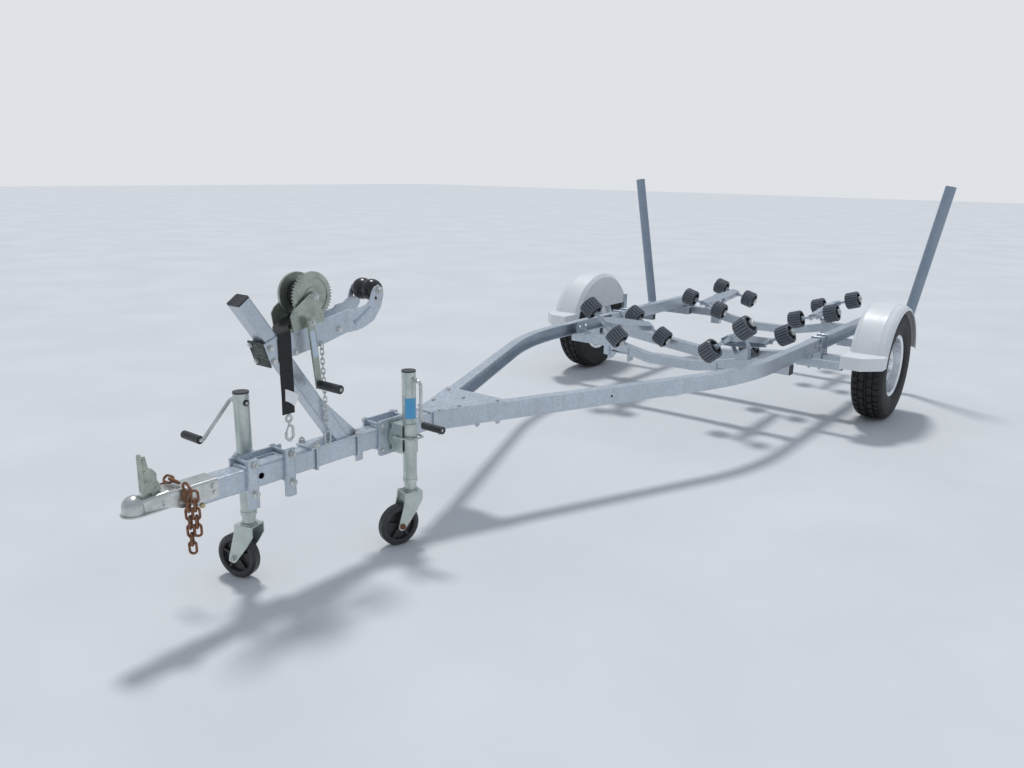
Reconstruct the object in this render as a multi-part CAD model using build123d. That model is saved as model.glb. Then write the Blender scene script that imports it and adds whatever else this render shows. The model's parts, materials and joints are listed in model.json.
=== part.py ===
from build123d import *
import math
import os

# A roller boat trailer on two wheels, parked level on two jacks. Everything is in
# millimetres. The layout is drawn with x to the trailer's left, y rearwards from the
# tongue's front end and z up from the ground. SHIFT then puts the middle of the
# outside box over the origin, so +Y of the part is rearwards and -Y is the coupler.

# Overall places, from the tongue's front end
COUPLER_TIP_Y = -270.0
REAR_ROLLER_Y = 4522.0
ROLLER_R = 55.0
SHIFT = -(COUPLER_TIP_Y + REAR_ROLLER_Y + ROLLER_R) / 2

# Frame: a square tongue, two channel rails that spread in a V and then run straight
FRAME_TOP = 427.0
TONGUE = 66.0
TONGUE_WALL = 4.0
TONGUE_END_Y = 1185.0
RAIL_H = 70.0
RAIL_FLANGE = 45.0
RAIL_WALL = 4.5
RAIL_X = 660.0
RAIL_BEND_R = 1447.0
RAIL_BEND_END_Y = 2657.0
RAIL_ANGLE = 23.26
RAIL_JOINT_Y = 3330.0
RAIL_REAR_Y = 4440.0
RAIL_BOTTOM = FRAME_TOP - RAIL_H
RAIL_HOLE_Y, RAIL_HOLE_Z = 1645.0, 393.0

# Running gear
AXLE_Y = 3508.0
WHEEL_X = 943.0
TYRE_R = 297.0
TYRE_W = 165.0
RIM_R = 168.0
BEAM = 60.0
BEAM_Y = 3372.0
BEAM_END_X = 772.0
SPINDLE_R = 17.0
RIM_SEAT_R = 154.0

# Jacks
JACK_R = 24.3
JACK_BORE_R = 21.8
LEG_R = 21.3
JACK_WHEEL_R = 75.0
JACK_TRAIL = 50.0
# Each jack: x, y and the turn of its castor, in degrees from straight ahead
FRONT_JACK = (-90.0, 178.0)
FRONT_CASTOR = -74.0
REAR_JACK = (97.0, 715.0)
REAR_CASTOR = -15.0
REAR_JACK_PIVOT_Z = 390.0


def box(x0, x1, y0, y1, z0, z1):
    """A block between two corners."""
    size = (x1 - x0, y1 - y0, z1 - z0)
    return Pos((x0 + x1) / 2, (y0 + y1) / 2, (z0 + z1) / 2) * Box(*size)


def rod(start, end, radius):
    """A round bar between two points."""
    start, end = Vector(*start), Vector(*end)
    way = end - start
    plane = Plane(origin=start, z_dir=way)
    return extrude(plane * Circle(radius), way.length)


def pipe(start, end, radius, bore):
    """A round tube between two points."""
    start, end = Vector(*start), Vector(*end)
    way = end - start
    plane = Plane(origin=start, z_dir=way)
    return extrude(plane * (Circle(radius) - Circle(bore)), way.length)


def plate_yz(outline, x0, x1):
    """A plate whose outline is drawn in the side view, from x0 to x1."""
    face = make_face(Polyline(*[(x0, y, z) for y, z in outline], close=True))
    return extrude(face, x1 - x0, dir=(1, 0, 0))


def plate_xy(outline, z0, z1):
    """A plate whose outline is drawn in plan, from z0 to z1."""
    face = make_face(Polyline(*[(x, y, z0) for x, y in outline], close=True))
    return extrude(face, z1 - z0, dir=(0, 0, 1))


def bent_rod(points, radius, bend):
    """A round bar along straight runs with equal bends."""
    path = FilletPolyline(*points, radius=bend)
    start = Vector(*points[0])
    plane = Plane(origin=start, z_dir=Vector(*points[1]) - start)
    return sweep(plane * Circle(radius), path=path)


def mirrored(shape):
    """The same piece on the other side of the trailer."""
    return mirror(shape, about=Plane.YZ)


def save(name, *shapes):
    """Write one node, moved so that the outside box is centred."""
    solids = [s for shape in shapes for s in shape.solids()]
    moved = [Pos(0, SHIFT, 0) * s for s in solids]
    whole = moved[0] if len(moved) == 1 else Compound(children=moved)
    export_step(whole, f"parts/{name}.step")


# The tongue: a square tube with a cross hole near its front end

TONGUE_FRONT_Y = -64.0
TONGUE_HOLE = (149.0, 394.0, 10.0)
LUG = (551.0, 581.0, 323.0)


def tongue():
    half = TONGUE / 2
    bottom = FRAME_TOP - TONGUE
    tube = box(-half, half, TONGUE_FRONT_Y, TONGUE_END_Y, bottom, FRAME_TOP)
    tube = fillet(tube.edges().filter_by(Axis.Y), 5)
    inner = half - TONGUE_WALL
    tube -= box(
        -inner, inner, TONGUE_FRONT_Y - 1, TONGUE_END_Y + 1, bottom + TONGUE_WALL, FRAME_TOP - TONGUE_WALL,
    )
    hole_y, hole_z, hole_r = TONGUE_HOLE
    tube -= rod((-half - 1, hole_y, hole_z), (half + 1, hole_y, hole_z), hole_r)
    lug_y0, lug_y1, lug_z = LUG
    return tube + box(-3, 3, lug_y0, lug_y1, lug_z, bottom)


# The rails: pressed channels, open inwards in front and outwards behind

def front_rail():
    angle = math.radians(RAIL_ANGLE)
    centre = (RAIL_X - RAIL_BEND_R, RAIL_BEND_END_Y)
    bend = (centre[0] + RAIL_BEND_R * math.cos(angle), centre[1] - RAIL_BEND_R * math.sin(angle))
    reach = bend[0] / math.sin(angle)
    start = (bend[0] - reach * math.sin(angle), bend[1] - reach * math.cos(angle))

    def strip(width):
        """The plan of the rail as seen from above, width wide from its outer face."""
        radius = RAIL_BEND_R - width
        across = (-width * math.cos(angle), width * math.sin(angle))
        outer = [
            Line(start, bend),
            RadiusArc(bend, (RAIL_X, RAIL_BEND_END_Y), -RAIL_BEND_R),
            Line((RAIL_X, RAIL_BEND_END_Y), (RAIL_X, RAIL_JOINT_Y)),
        ]
        inner_bend = (bend[0] + across[0], bend[1] + across[1])
        inner_start = (start[0] + across[0], start[1] + across[1])
        inner = [
            Line((RAIL_X, RAIL_JOINT_Y), (RAIL_X - width, RAIL_JOINT_Y)),
            Line((RAIL_X - width, RAIL_JOINT_Y), (RAIL_X - width, RAIL_BEND_END_Y)),
            RadiusArc((RAIL_X - width, RAIL_BEND_END_Y), inner_bend, radius),
            Line(inner_bend, inner_start),
            Line(inner_start, start),
        ]
        return make_face(outer + inner)

    whole = extrude(Pos(0, 0, RAIL_BOTTOM) * strip(RAIL_FLANGE), RAIL_H)
    opening = extrude(Pos(0, 0, RAIL_BOTTOM + RAIL_WALL) * strip(RAIL_FLANGE), RAIL_H - 2 * RAIL_WALL)
    web = extrude(Pos(0, 0, RAIL_BOTTOM + RAIL_WALL) * strip(RAIL_WALL), RAIL_H - 2 * RAIL_WALL)
    rail = whole - opening + web
    half = TONGUE / 2
    hole_x = half + (RAIL_HOLE_Y - start[1]) * math.tan(angle)
    rail -= rod((hole_x - 30, RAIL_HOLE_Y, RAIL_HOLE_Z), (hole_x + 30, RAIL_HOLE_Y, RAIL_HOLE_Z), 6.5)
    return rail - box(-1000, half, 0, RAIL_JOINT_Y, 0, 600)


def rear_rail():
    x_in = RAIL_X - RAIL_FLANGE
    rail = box(x_in, RAIL_X, RAIL_JOINT_Y, RAIL_REAR_Y, RAIL_BOTTOM, FRAME_TOP)
    return rail - box(
        x_in + RAIL_WALL, RAIL_X + 1, RAIL_JOINT_Y - 1, RAIL_REAR_Y + 1,
        RAIL_BOTTOM + RAIL_WALL, FRAME_TOP - RAIL_WALL,
    )


# The gusset: a pressed plate over the tongue and both rails, with folded sides

GUSSET_T = 5.0
GUSSET_FRONT_Y = 884.0
GUSSET_REAR_Y = 1200.0
GUSSET_FOLD_REAR_Y = 1050.0


def gusset():
    slope = math.tan(math.radians(RAIL_ANGLE))
    fold = GUSSET_T / math.cos(math.radians(RAIL_ANGLE))
    half = TONGUE / 2
    apex_y = RAIL_BEND_END_Y - RAIL_BEND_R * math.sin(math.radians(RAIL_ANGLE))
    apex_x = RAIL_X - RAIL_BEND_R * (1 - math.cos(math.radians(RAIL_ANGLE)))
    meet_y = apex_y - (apex_x - half) / slope

    def rail_x(y):
        return half + (y - meet_y) * slope

    rear_x = rail_x(GUSSET_REAR_Y)
    top = plate_xy([
        (half + fold, GUSSET_FRONT_Y), (half + fold, meet_y), (rear_x + fold, GUSSET_REAR_Y),
        (-rear_x - fold, GUSSET_REAR_Y), (-half - fold, meet_y), (-half - fold, GUSSET_FRONT_Y),
    ], FRAME_TOP, FRAME_TOP + GUSSET_T)
    side = plate_xy([
        (half, meet_y), (half + fold, meet_y), (rear_x + fold, GUSSET_REAR_Y), (rear_x, GUSSET_REAR_Y),
    ], RAIL_BOTTOM, FRAME_TOP)
    rear_cut = plate_yz([
        (GUSSET_REAR_Y, FRAME_TOP), (GUSSET_REAR_Y + 50, FRAME_TOP), (GUSSET_REAR_Y + 50, RAIL_BOTTOM - 1),
        (GUSSET_FOLD_REAR_Y, RAIL_BOTTOM - 1),
    ], 0, 300)
    side -= rear_cut
    return top + side + mirrored(side)


def splices():
    """Plates on the inner side that join the front and rear rails."""
    x_in = RAIL_X - RAIL_FLANGE
    plate = box(x_in - 5, x_in, RAIL_JOINT_Y - 110, RAIL_JOINT_Y + 110, RAIL_BOTTOM, FRAME_TOP)
    return plate, mirrored(plate)


# Crossmembers: square tubes bent down in the middle

CROSS = 50.0
CROSS_WALL = 4.0
CROSS_DROP = 58.0
CROSS_HALF = 664.0
CROSS_FLAT_X = 430.0
CROSS_LOW_X = 140.0
CROSS_BEND_R = 220.0
# Cut-off pieces smaller than this many cubic millimetres are dropped
SCRAP = 1500.0
# The front crossmember's hanging ears: their two places, top and bottom
EAR_X = (272.0, 400.0)
EAR_TOP, EAR_BOTTOM = 278.0, 235.0
# Each row: node name, y of the tube's centre
CROSSMEMBERS = [("crossmember_front", 2880.0), ("crossmember_rear", 4287.0)]


def bent_tube(half_length, flat_x, low_x, drop, size, wall, top, y, bend_r):
    """A square tube across the trailer, level at its ends and lower in the middle."""
    z_end = top - size / 2
    points = [
        (-half_length, y, z_end), (-flat_x, y, z_end), (-low_x, y, z_end - drop),
        (low_x, y, z_end - drop), (flat_x, y, z_end), (half_length, y, z_end),
    ]
    path = FilletPolyline(*points, radius=bend_r)
    section = Plane(origin=points[0], z_dir=(1, 0, 0)) * (
        Rectangle(size, size) - Rectangle(size - 2 * wall, size - 2 * wall)
    )
    return sweep(section, path=path)


def crossmember(y, wall=CROSS_WALL):
    return bent_tube(
        CROSS_HALF, CROSS_FLAT_X, CROSS_LOW_X, CROSS_DROP, CROSS, wall, RAIL_BOTTOM, y, CROSS_BEND_R
    )


def end_plate(y):
    """The angle that bolts a crossmember to the inner side of its rail."""
    x1 = RAIL_X - RAIL_FLANGE
    upright = box(x1 - 6, x1, y - 52, y + 52, RAIL_BOTTOM, FRAME_TOP - 6)
    foot = box(x1 - 46, x1, y - 40, y + 40, RAIL_BOTTOM, RAIL_BOTTOM + 6)
    return upright + foot


def hanging_ears(y):
    """Two plates with holes that hang below the front crossmember."""
    made = box(EAR_X[0], EAR_X[1], y - 32, y + 32, EAR_TOP, EAR_TOP + 5)
    for x in EAR_X:
        ear = box(x - 3, x + 3, y - 32, y + 32, EAR_BOTTOM, EAR_TOP + 30)
        made += ear - rod((x - 4, y, EAR_BOTTOM + 22), (x + 4, y, EAR_BOTTOM + 22), 7)
    return made


# The axle: a cambered square beam with rubber-sprung arms at its ends

BEAM_PAD = 22.0
BEAM_DROP = 60.0


def axle_beam():
    top = RAIL_BOTTOM - BEAM_PAD
    beam = bent_tube(BEAM_END_X, 560.0, 60.0, BEAM_DROP, BEAM, 5.0, top, BEAM_Y, 300.0)
    pad = box(RAIL_X - RAIL_FLANGE, RAIL_X, BEAM_Y - 45, BEAM_Y + 45, top, RAIL_BOTTOM)
    end_z = top - BEAM / 2
    arm_x0, arm_x1 = BEAM_END_X, BEAM_END_X + 24
    arm = rod((arm_x0, BEAM_Y, end_z), (arm_x1, BEAM_Y, end_z), 34)
    arm += rod((arm_x0, AXLE_Y, TYRE_R), (arm_x1, AXLE_Y, TYRE_R), 27)
    arm += plate_yz([
        (BEAM_Y, end_z - 33), (AXLE_Y, TYRE_R - 26), (AXLE_Y, TYRE_R + 26), (BEAM_Y, end_z + 33),
    ], arm_x0, arm_x1)
    arm += rod((arm_x1, AXLE_Y, TYRE_R), (WHEEL_X + 30, AXLE_Y, TYRE_R), SPINDLE_R)
    return beam + pad + mirrored(pad) + arm + mirrored(arm)


# Road wheels: tyre, steel rim and hub turn on the spindle

def revolve_x(outline, x, y, z):
    """Turn an outline of (x, radius) pairs about the wheel's axle."""
    face = make_face(Polyline(*[(x + dx, y, z + r) for dx, r in outline], close=True))
    return revolve(face, axis=Axis((x, y, z), (1, 0, 0)), revolution_arc=360)


def tyre():
    half = TYRE_W / 2
    side = [
        (57, RIM_SEAT_R), (61, RIM_R), (66, RIM_R), (half - 9, RIM_R + 8), (half, 232),
        (half - 7, 270), (half - 24, 289), (30, TYRE_R - 1), (20, TYRE_R),
    ]
    return revolve_x(side + [(-x, r) for x, r in reversed(side)], WHEEL_X, AXLE_Y, TYRE_R)


def rim():
    """Rim with its dished disc and hub; offsets are outwards from the wheel's centre."""
    seat = RIM_SEAT_R
    outline = [
        (-57, seat), (-61, RIM_R), (-65, RIM_R), (-62, seat - 4), (-30, seat - 6), (-12, 128),
        (4, 124), (14, 118), (22, 88), (8, 70), (8, 40), (-78, 40), (-78, SPINDLE_R + 0.4),
        (32, SPINDLE_R + 0.4), (32, 0), (52, 0), (52, 24), (44, 30), (20, 30), (20, 66),
        (34, 84), (26, 122), (14, 132), (0, 136), (-14, seat - 1), (30, seat - 1),
        (60, seat - 4), (66, RIM_R), (61, RIM_R), (57, seat),
    ]
    return revolve_x(outline, WHEEL_X, AXLE_Y, TYRE_R)


# Fenders: moulded shells with a step in front and a closed inner side

FENDER_X0, FENDER_X1 = 850.0, 1040.0
FENDER_R = 335.0
FENDER_LIP_R = 305.0
FENDER_T = 4.0
INNER_WALL_Z = 415.0
STEP_FRONT_Y = 3050.0
STEP_CORNER = 85.0
STEP_TOP_Z = 403.0
STEP_BOTTOM_Z = 338.0
FENDER_REAR_Z = 355.0


def fender_form(inset):
    """The arch with its closed inner side, and its wheel well when inset is the wall."""
    x0, x1, r = FENDER_X0 + inset - WHEEL_X, FENDER_X1 - inset - WHEEL_X, FENDER_R - inset
    outline = [
        (x0, 0), (x0, r - 20), (x0 + 18, r), (x1 - 52, r), (x1 - 24, r - 6), (x1 - 8, r - 16),
        (x1, r - 30),
    ]
    if inset:
        outline += [(x1, FENDER_LIP_R), (x1 + 2 * inset, FENDER_LIP_R), (x1 + 2 * inset, 0)]
    else:
        outline += [(x1, 0)]
    return revolve_x(outline, WHEEL_X, AXLE_Y, TYRE_R)


def step_form(inset, bottom):
    """The flat block in front of the arch, with its outer corner cut off."""
    x0, x1, y0 = FENDER_X0 + inset, FENDER_X1 - inset, STEP_FRONT_Y + inset
    corner = STEP_CORNER - inset * 0.6
    outline = [(x0, y0), (x1 - corner, y0), (x1, y0 + corner), (x1, AXLE_Y), (x0, AXLE_Y)]
    return plate_xy(outline, bottom, STEP_TOP_Z - inset)


def fender():
    low = box(800, 1100, 0, AXLE_Y, -100, STEP_BOTTOM_Z) + box(800, 1100, AXLE_Y, 6000, -100, FENDER_REAR_Z)
    shell = fender_form(0) + step_form(0, STEP_BOTTOM_Z) - low
    shell -= fender_form(FENDER_T)
    shell -= step_form(FENDER_T, 0)
    shell -= rod((FENDER_X0 + FENDER_T, AXLE_Y, TYRE_R), (FENDER_X1 + 1, AXLE_Y, TYRE_R), FENDER_LIP_R)
    low_wall = box(FENDER_X0 - 1, FENDER_X0 + FENDER_T + 1, 0, 6000, 0, INNER_WALL_Z)
    shell -= low_wall & rod((FENDER_X0 - 2, AXLE_Y, TYRE_R), (FENDER_X0 + 9, AXLE_Y, TYRE_R), FENDER_LIP_R)
    return shell.solids().sort_by(SortBy.VOLUME)[-1]


# Fender arms: square tubes under the rails, the rear ones with an upright plate
# Each row: y of the arm, top of its upright plate
ARM_TUBE = 40.0
FENDER_ARMS = [(3110.0, 357.0), (3785.0, 470.0)]


def fender_brackets():
    made = []
    for y, plate_top in FENDER_ARMS:
        half, top = ARM_TUBE / 2, RAIL_BOTTOM
        arm = box(RAIL_X - 45, FENDER_X0, y - half, y + half, top - ARM_TUBE, top)
        arm -= box(0, FENDER_X0 - 5, y - half + 3, y + half - 3, top - ARM_TUBE + 3, top - 3)
        if plate_top > top:
            arm += box(FENDER_X0 - 5, FENDER_X0, y - half, y + half, top, plate_top)
        made += [arm, mirrored(arm)]
    return made


# Guide posts: leaning tubes on arms from the rear crossmember's end

POST_Y = 4225.0
POST_R = 30.0
POST_BASE = (873.0, 372.0)
POST_TOP = (1025.0, 1240.0)


def guide_post():
    return pipe((POST_BASE[0], POST_Y, POST_BASE[1]), (POST_TOP[0], POST_Y, POST_TOP[1]), POST_R, POST_R - 4)


def post_arm():
    z1 = RAIL_BOTTOM
    arm = box(560, POST_BASE[0] + 20, POST_Y - 25, POST_Y + 25, z1 - 50, z1)
    arm -= box(550, POST_BASE[0] + 30, POST_Y - 21, POST_Y + 21, z1 - 46, z1 - 4)
    lean = Vector(POST_TOP[0] - POST_BASE[0], 0, POST_TOP[1] - POST_BASE[1]).normalized()
    foot = Vector(POST_BASE[0], POST_Y, POST_BASE[1]) - lean * 22
    tip = Vector(POST_BASE[0], POST_Y, POST_BASE[1]) + lean * 140
    socket = rod(foot, tip, POST_R - 4.4)
    socket += rod(foot, (Vector(*foot) + lean * 21.6), POST_R)
    socket -= box(700, 1000, POST_Y - 60, POST_Y + 60, 0, z1)
    return arm + socket


# Cradles: rocking arms, each with two shafts of ribbed rollers

SHAFT_R = 9.5
ROLLER_L = 78.0
ROLLER_OFF = 114.0
ARM_W = 66.0
ARM_END_W = 44.0
ARM_WALL = 4.0
ARM_TOP, ARM_BOTTOM = 17.0, -21.0
ARM_OVERHANG = 18.0
RIBS = 20
RIB_DEPTH = 7.0
# Columns: node, y of its crossmember, tilt of its pivot pin,
# front shaft (y, x, z, tilt), rear shaft (y, x, z, tilt); tilts in degrees, outer end up
CRADLES = [
    ("cradle_front", 2880.0, 34.0, (2737.0, 370.0, 470.0, 39.0), (3275.0, 378.0, 374.0, 29.0)),
    ("cradle_rear", 4287.0, 17.0, (4051.0, 374.0, 423.0, 17.0), (4522.0, 361.0, 450.0, 17.0)),
]


def along(tilt):
    """The direction of a shaft on the left side, up and outwards by tilt."""
    angle = math.radians(tilt)
    return Vector(math.cos(angle), 0, math.sin(angle))


def shaft_rod(x, y, z, tilt, half, radius):
    way = along(tilt)
    centre = Vector(x, y, z)
    return rod((centre - way * half), (centre + way * half), radius)


def arm_plane(front, rear, tilt):
    """A frame on the arm's axis: x along the pivot pin, z along the arm to the rear."""
    f_y, f_x, f_z, _ = front
    r_y, r_x, r_z, _ = rear
    way = Vector(r_x - f_x, r_y - f_y, r_z - f_z)
    return Plane(origin=(f_x, f_y, f_z), x_dir=along(tilt), z_dir=way), way.length


def pivot_plane(front, rear, tilt, pivot_y):
    """The arm's frame moved along the arm to the pivot."""
    plane, _ = arm_plane(front, rear, tilt)
    share = (pivot_y - plane.origin.Y) / plane.z_dir.Y
    return Plane(origin=plane.origin + plane.z_dir * share, x_dir=plane.x_dir, z_dir=plane.z_dir)


def pin(plane, half, radius):
    """A pivot pin along the plane's x axis."""
    return rod(plane.origin - plane.x_dir * half, plane.origin + plane.x_dir * half, radius)


def arm_outline(before, after, inset):
    """Plan of a tapered arm: widest at the pivot, before and after it along the arm."""
    wide, end = ARM_W / 2 - inset, ARM_END_W / 2 - inset
    return [
        (-end, -before), (end, -before), (wide, -50), (wide, 50), (end, after), (-end, after),
        (-wide, 50), (-wide, -50),
    ]


def cradle(tilt, front, rear, pivot_y):
    _, length = arm_plane(front, rear, tilt)
    pivot = pivot_plane(front, rear, tilt, pivot_y)
    before = (pivot.origin - Vector(front[1], front[0], front[2])).length + ARM_OVERHANG
    after = length + 2 * ARM_OVERHANG - before
    plan = Plane(origin=pivot.origin - pivot.y_dir * ARM_TOP, x_dir=pivot.x_dir, z_dir=pivot.y_dir)
    flip = 1 if (plan.y_dir - pivot.z_dir).length < 1 else -1

    def slab(inset, start, depth):
        points = [(x, flip * along_arm) for x, along_arm in arm_outline(before, after, inset)]
        face = Pos(0, 0, start) * make_face(Polyline(*points, close=True))
        return extrude(plan * face, depth)

    arm = slab(0, 0, ARM_TOP - ARM_BOTTOM) - slab(ARM_WALL, ARM_WALL, ARM_TOP - ARM_BOTTOM)
    half = ROLLER_OFF + ROLLER_L / 2 + 12
    for y, x, z, lean in (front, rear):
        arm += shaft_rod(x, y, z, lean, half, SHAFT_R)
        arm += shaft_rod(x, y, z, lean, ARM_END_W / 2 + 10, SHAFT_R + 5)
        unit = along(lean)
        for side in (-1, 1):
            for reach in (ROLLER_OFF - ROLLER_L / 2 - 9, ROLLER_OFF + ROLLER_L / 2 + 1):
                near = Vector(x, y, z) + unit * (side * reach)
                arm += rod(near, near + unit * (side * 8), SHAFT_R + 5)
    return arm - pin(pivot, ARM_W, 9.8)


def toothed(count, radius, depth, steps):
    """An outline of count teeth; steps are shares of the pitch: rise, top, fall, root."""
    points = []
    for i in range(count):
        for share, r in zip(steps, (radius, radius, radius - depth, radius - depth)):
            angle = 2 * math.pi * (i + share) / count
            points.append((r * math.cos(angle), r * math.sin(angle)))
    return make_face(Polyline(*points, close=True))


def roller():
    """A ribbed roller along z, bevelled at its rims and hollow round its hub."""
    half = ROLLER_L / 2
    body = extrude(toothed(RIBS, ROLLER_R, RIB_DEPTH, (0.0, 0.52, 0.62, 0.90)), half, both=True)
    rim = [
        (0, -half), (ROLLER_R - 5, -half), (ROLLER_R, 6 - half), (ROLLER_R, half - 6),
        (ROLLER_R - 5, half), (0, half),
    ]
    barrel = make_face(Polyline(*[(r, 0, z) for r, z in rim], close=True))
    body = body & revolve(barrel, axis=Axis.Z, revolution_arc=360)
    for side in (-1, 1):
        body -= Pos(0, 0, side * (half - 5)) * (Cylinder(40, 10.2) - Cylinder(17, 10.2))
    return body - Cylinder(SHAFT_R + 0.4, ROLLER_L + 2)


def roller_pair(shape, y, x, z, tilt):
    unit = along(tilt)
    made = []
    for side in (-1, 1):
        centre = Vector(x, y, z) + unit * (side * ROLLER_OFF)
        made.append(Plane(origin=centre, x_dir=(0, 1, 0), z_dir=unit) * shape)
    return made


def cradle_bracket(tilt, front, rear, y):
    """The yoke on the crossmember that holds a cradle's pivot pin."""
    plane = pivot_plane(front, rear, tilt, y)
    low = 64.0
    ears = []
    for side in (-1, 1):
        ear = Pos(side * (ARM_W / 2 + 5), low / 2 - 8) * Rectangle(6, low + 16)
        ears.append(extrude(plane * ear, 22, both=True))
    web = extrude(plane * (Pos(0, low - 3) * Rectangle(ARM_W + 16, 6)), 22, both=True)
    foot_x, foot_z = plane.origin.X + plane.y_dir.X * low, plane.origin.Z + plane.y_dir.Z * low
    foot = box(foot_x - 30, foot_x + 30, y - 22, y + 22, RAIL_BOTTOM - 100, foot_z + 60)
    foot -= extrude(plane * (Pos(0, low - 106) * Rectangle(400, 200)), 100, both=True)
    return ears[0] + ears[1] + web + pin(plane, ARM_W / 2 + 12, 9.5) + foot


# Winch post: a leaning rectangular tube on a foot plate

POST_TILT = 34.65
POST_AXIS_TOP = (131.0, 924.0)
POST_D = 46.0
POST_W = 60.0
FOOT_Y0, FOOT_Y1 = 335.0, 560.0
FOOT_T = 6.0
FOOT_GUSSET_TOP_Z = 560.0
FOOT_GUSSET_REAR_Y = 545.0
# Each row: y of a U-bolt that holds the foot on the tongue
FOOT_BOLTS = [358.0, 531.0]


def post_plane():
    """The post's axis, looking down it from the top end."""
    angle = math.radians(POST_TILT)
    way = Vector(0, math.sin(angle), -math.cos(angle))
    return Plane(origin=(0, *POST_AXIS_TOP), x_dir=(1, 0, 0), z_dir=way)


def winch_post():
    section = RectangleRounded(POST_W, POST_D, 6) - RectangleRounded(POST_W - 7, POST_D - 7, 3)
    tube = extrude(post_plane() * section, 700)
    return tube - box(-100, 100, 0, 1200, -200, FRAME_TOP + FOOT_T)


def winch_foot():
    half = TONGUE / 2
    plate = box(-half - 6, half + 6, FOOT_Y0, FOOT_Y1, FRAME_TOP, FRAME_TOP + FOOT_T)
    lean = math.tan(math.radians(POST_TILT))
    rear = POST_D / 2 / math.cos(math.radians(POST_TILT))

    def rear_face(z):
        return POST_AXIS_TOP[0] + (POST_AXIS_TOP[1] - z) * lean + rear

    foot_z = FRAME_TOP + FOOT_T
    web = plate_yz([
        (rear_face(foot_z), foot_z), (FOOT_GUSSET_REAR_Y, foot_z),
        (rear_face(FOOT_GUSSET_TOP_Z) + 6, FOOT_GUSSET_TOP_Z),
        (rear_face(FOOT_GUSSET_TOP_Z), FOOT_GUSSET_TOP_Z),
    ], POST_W / 2 - 9, POST_W / 2 - 5)
    plate += web + mirrored(web)
    bottom = FRAME_TOP - TONGUE
    for y in FOOT_BOLTS:
        plate += bent_rod([
            (-half - 5, y, foot_z + 14), (-half - 5, y, bottom - 5), (half + 5, y, bottom - 5),
            (half + 5, y, foot_z + 14),
        ], 4, 5)
    return plate


def post_clamp():
    """The black plate across the front ends of the arm's two plates."""
    top, foot = Vector(*ARM_FRONT[0]), Vector(*ARM_UNDER[-1])
    down = (foot - top).normalized()
    out = Vector(down.Y, -down.X) * 5
    corners = [top - down * 6, foot + down * 6]
    outline = corners + [corners[1] + out, corners[0] + out]
    return plate_yz([(v.X, v.Y) for v in outline], -ARM_IN - ARM_PLATE_T - 1, ARM_IN + ARM_PLATE_T + 1)


def tube_caps():
    """Black plugs in the open tube ends: winch post and crossmembers, and the front jack's lid."""
    cap = extrude(post_plane() * RectangleRounded(POST_W, POST_D, 6), -5)
    made = [cap, jack_lid(*FRONT_JACK)]
    for _, y in CROSSMEMBERS:
        plug = box(
            CROSS_HALF, CROSS_HALF + 4, y - CROSS / 2, y + CROSS / 2, RAIL_BOTTOM - CROSS, RAIL_BOTTOM,
        )
        made += [plug, mirrored(plug)]
    return made


# Bow arm: two side plates on the post that carry the winch and the bow roller

ARM_PLATE_T = 5.0
ARM_IN, ARM_OUT = 30.0, 50.0
BOW_ROLLER = (625.0, 909.0)
BOW_BALL_R = 36.0
BOW_BALL_X = 22.0
# The joggle that widens the arm from the post to the roller, as (y, x of its inner face)
ARM_PLAN = [(170.0, ARM_IN), (502.0, ARM_IN), (530.0, ARM_OUT), (670.0, ARM_OUT)]
# The arm's side view as (y, z): along its top, round the horn and back below
ARM_FRONT = [
    (182.0, 792.0), (235.0, 812.0), (284.0, 817.0), (406.0, 838.0), (520.0, 860.0), (565.0, 866.0),
]
ARM_HORN = [
    (586.0, 880.0), (595.0, 905.0), (606.0, 922.0), (625.0, 929.0), (644.0, 915.0), (646.0, 893.0),
]
ARM_UNDER = [
    (634.0, 855.0), (602.0, 814.0), (557.0, 796.0), (492.0, 782.0), (390.0, 757.0), (291.0, 742.0),
    (205.0, 726.0),
]
ARM_HOLE = (612.0, 886.0)
ARM_RIB = ((519.0, 815.0), (588.0, 857.0))


def bow_arm():
    inner = [(x, y) for y, x in ARM_PLAN]
    outer = [(x + ARM_PLATE_T, y) for y, x in reversed(ARM_PLAN)]
    plate = plate_xy(inner + outer, 650, 1000) & plate_yz(ARM_FRONT + ARM_HORN + ARM_UNDER, 0, 100)
    plate -= rod((0, *ARM_HOLE), (100, *ARM_HOLE), 6)
    face = ARM_OUT + ARM_PLATE_T
    start, end = ARM_RIB
    plate += rod((face, *start), (face, *end), 6) - box(0, ARM_OUT + 1, 0, 800, 0, 1000)
    pin = rod((-face - 6, *BOW_ROLLER), (face + 6, *BOW_ROLLER), 8)
    spacer = rod((-ARM_IN, 470.0, 800.0), (ARM_IN, 470.0, 800.0), 9)
    return plate + mirrored(plate) + pin + spacer


def bow_roller():
    """Two black balls in one, turned round the pin."""
    lobes = Pos(-BOW_BALL_X, 0) * Circle(BOW_BALL_R) + Pos(BOW_BALL_X, 0) * Circle(BOW_BALL_R)
    upper = Pos(0, 8.4 + 50) * Rectangle(2 * (ARM_OUT - 2), 100)
    return Pos(0, *BOW_ROLLER) * revolve(lobes & upper, axis=Axis.X, revolution_arc=360)


# Winch: side frame, drum with its large gear, pinion and crank

DRUM = (365.0, 918.0)
GEAR_R = 70.0
GEAR_TEETH = 46
TOOTH = 5.0
GEAR_X = 34.0
PINION = (329.0, 845.0)
CRANK_END = (352.0, 646.0)
FRAME_X = 45.0
# The near side plate in the side view, from its foot round the drum's boss
WINCH_SIDE = [
    (282.0, 834.0), (274.0, 866.0), (286.0, 884.0), (348.0, 926.0), (365.0, 932.0), (380.0, 924.0),
    (389.0, 878.0), (401.0, 858.0), (400.0, 842.0),
]


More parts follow.
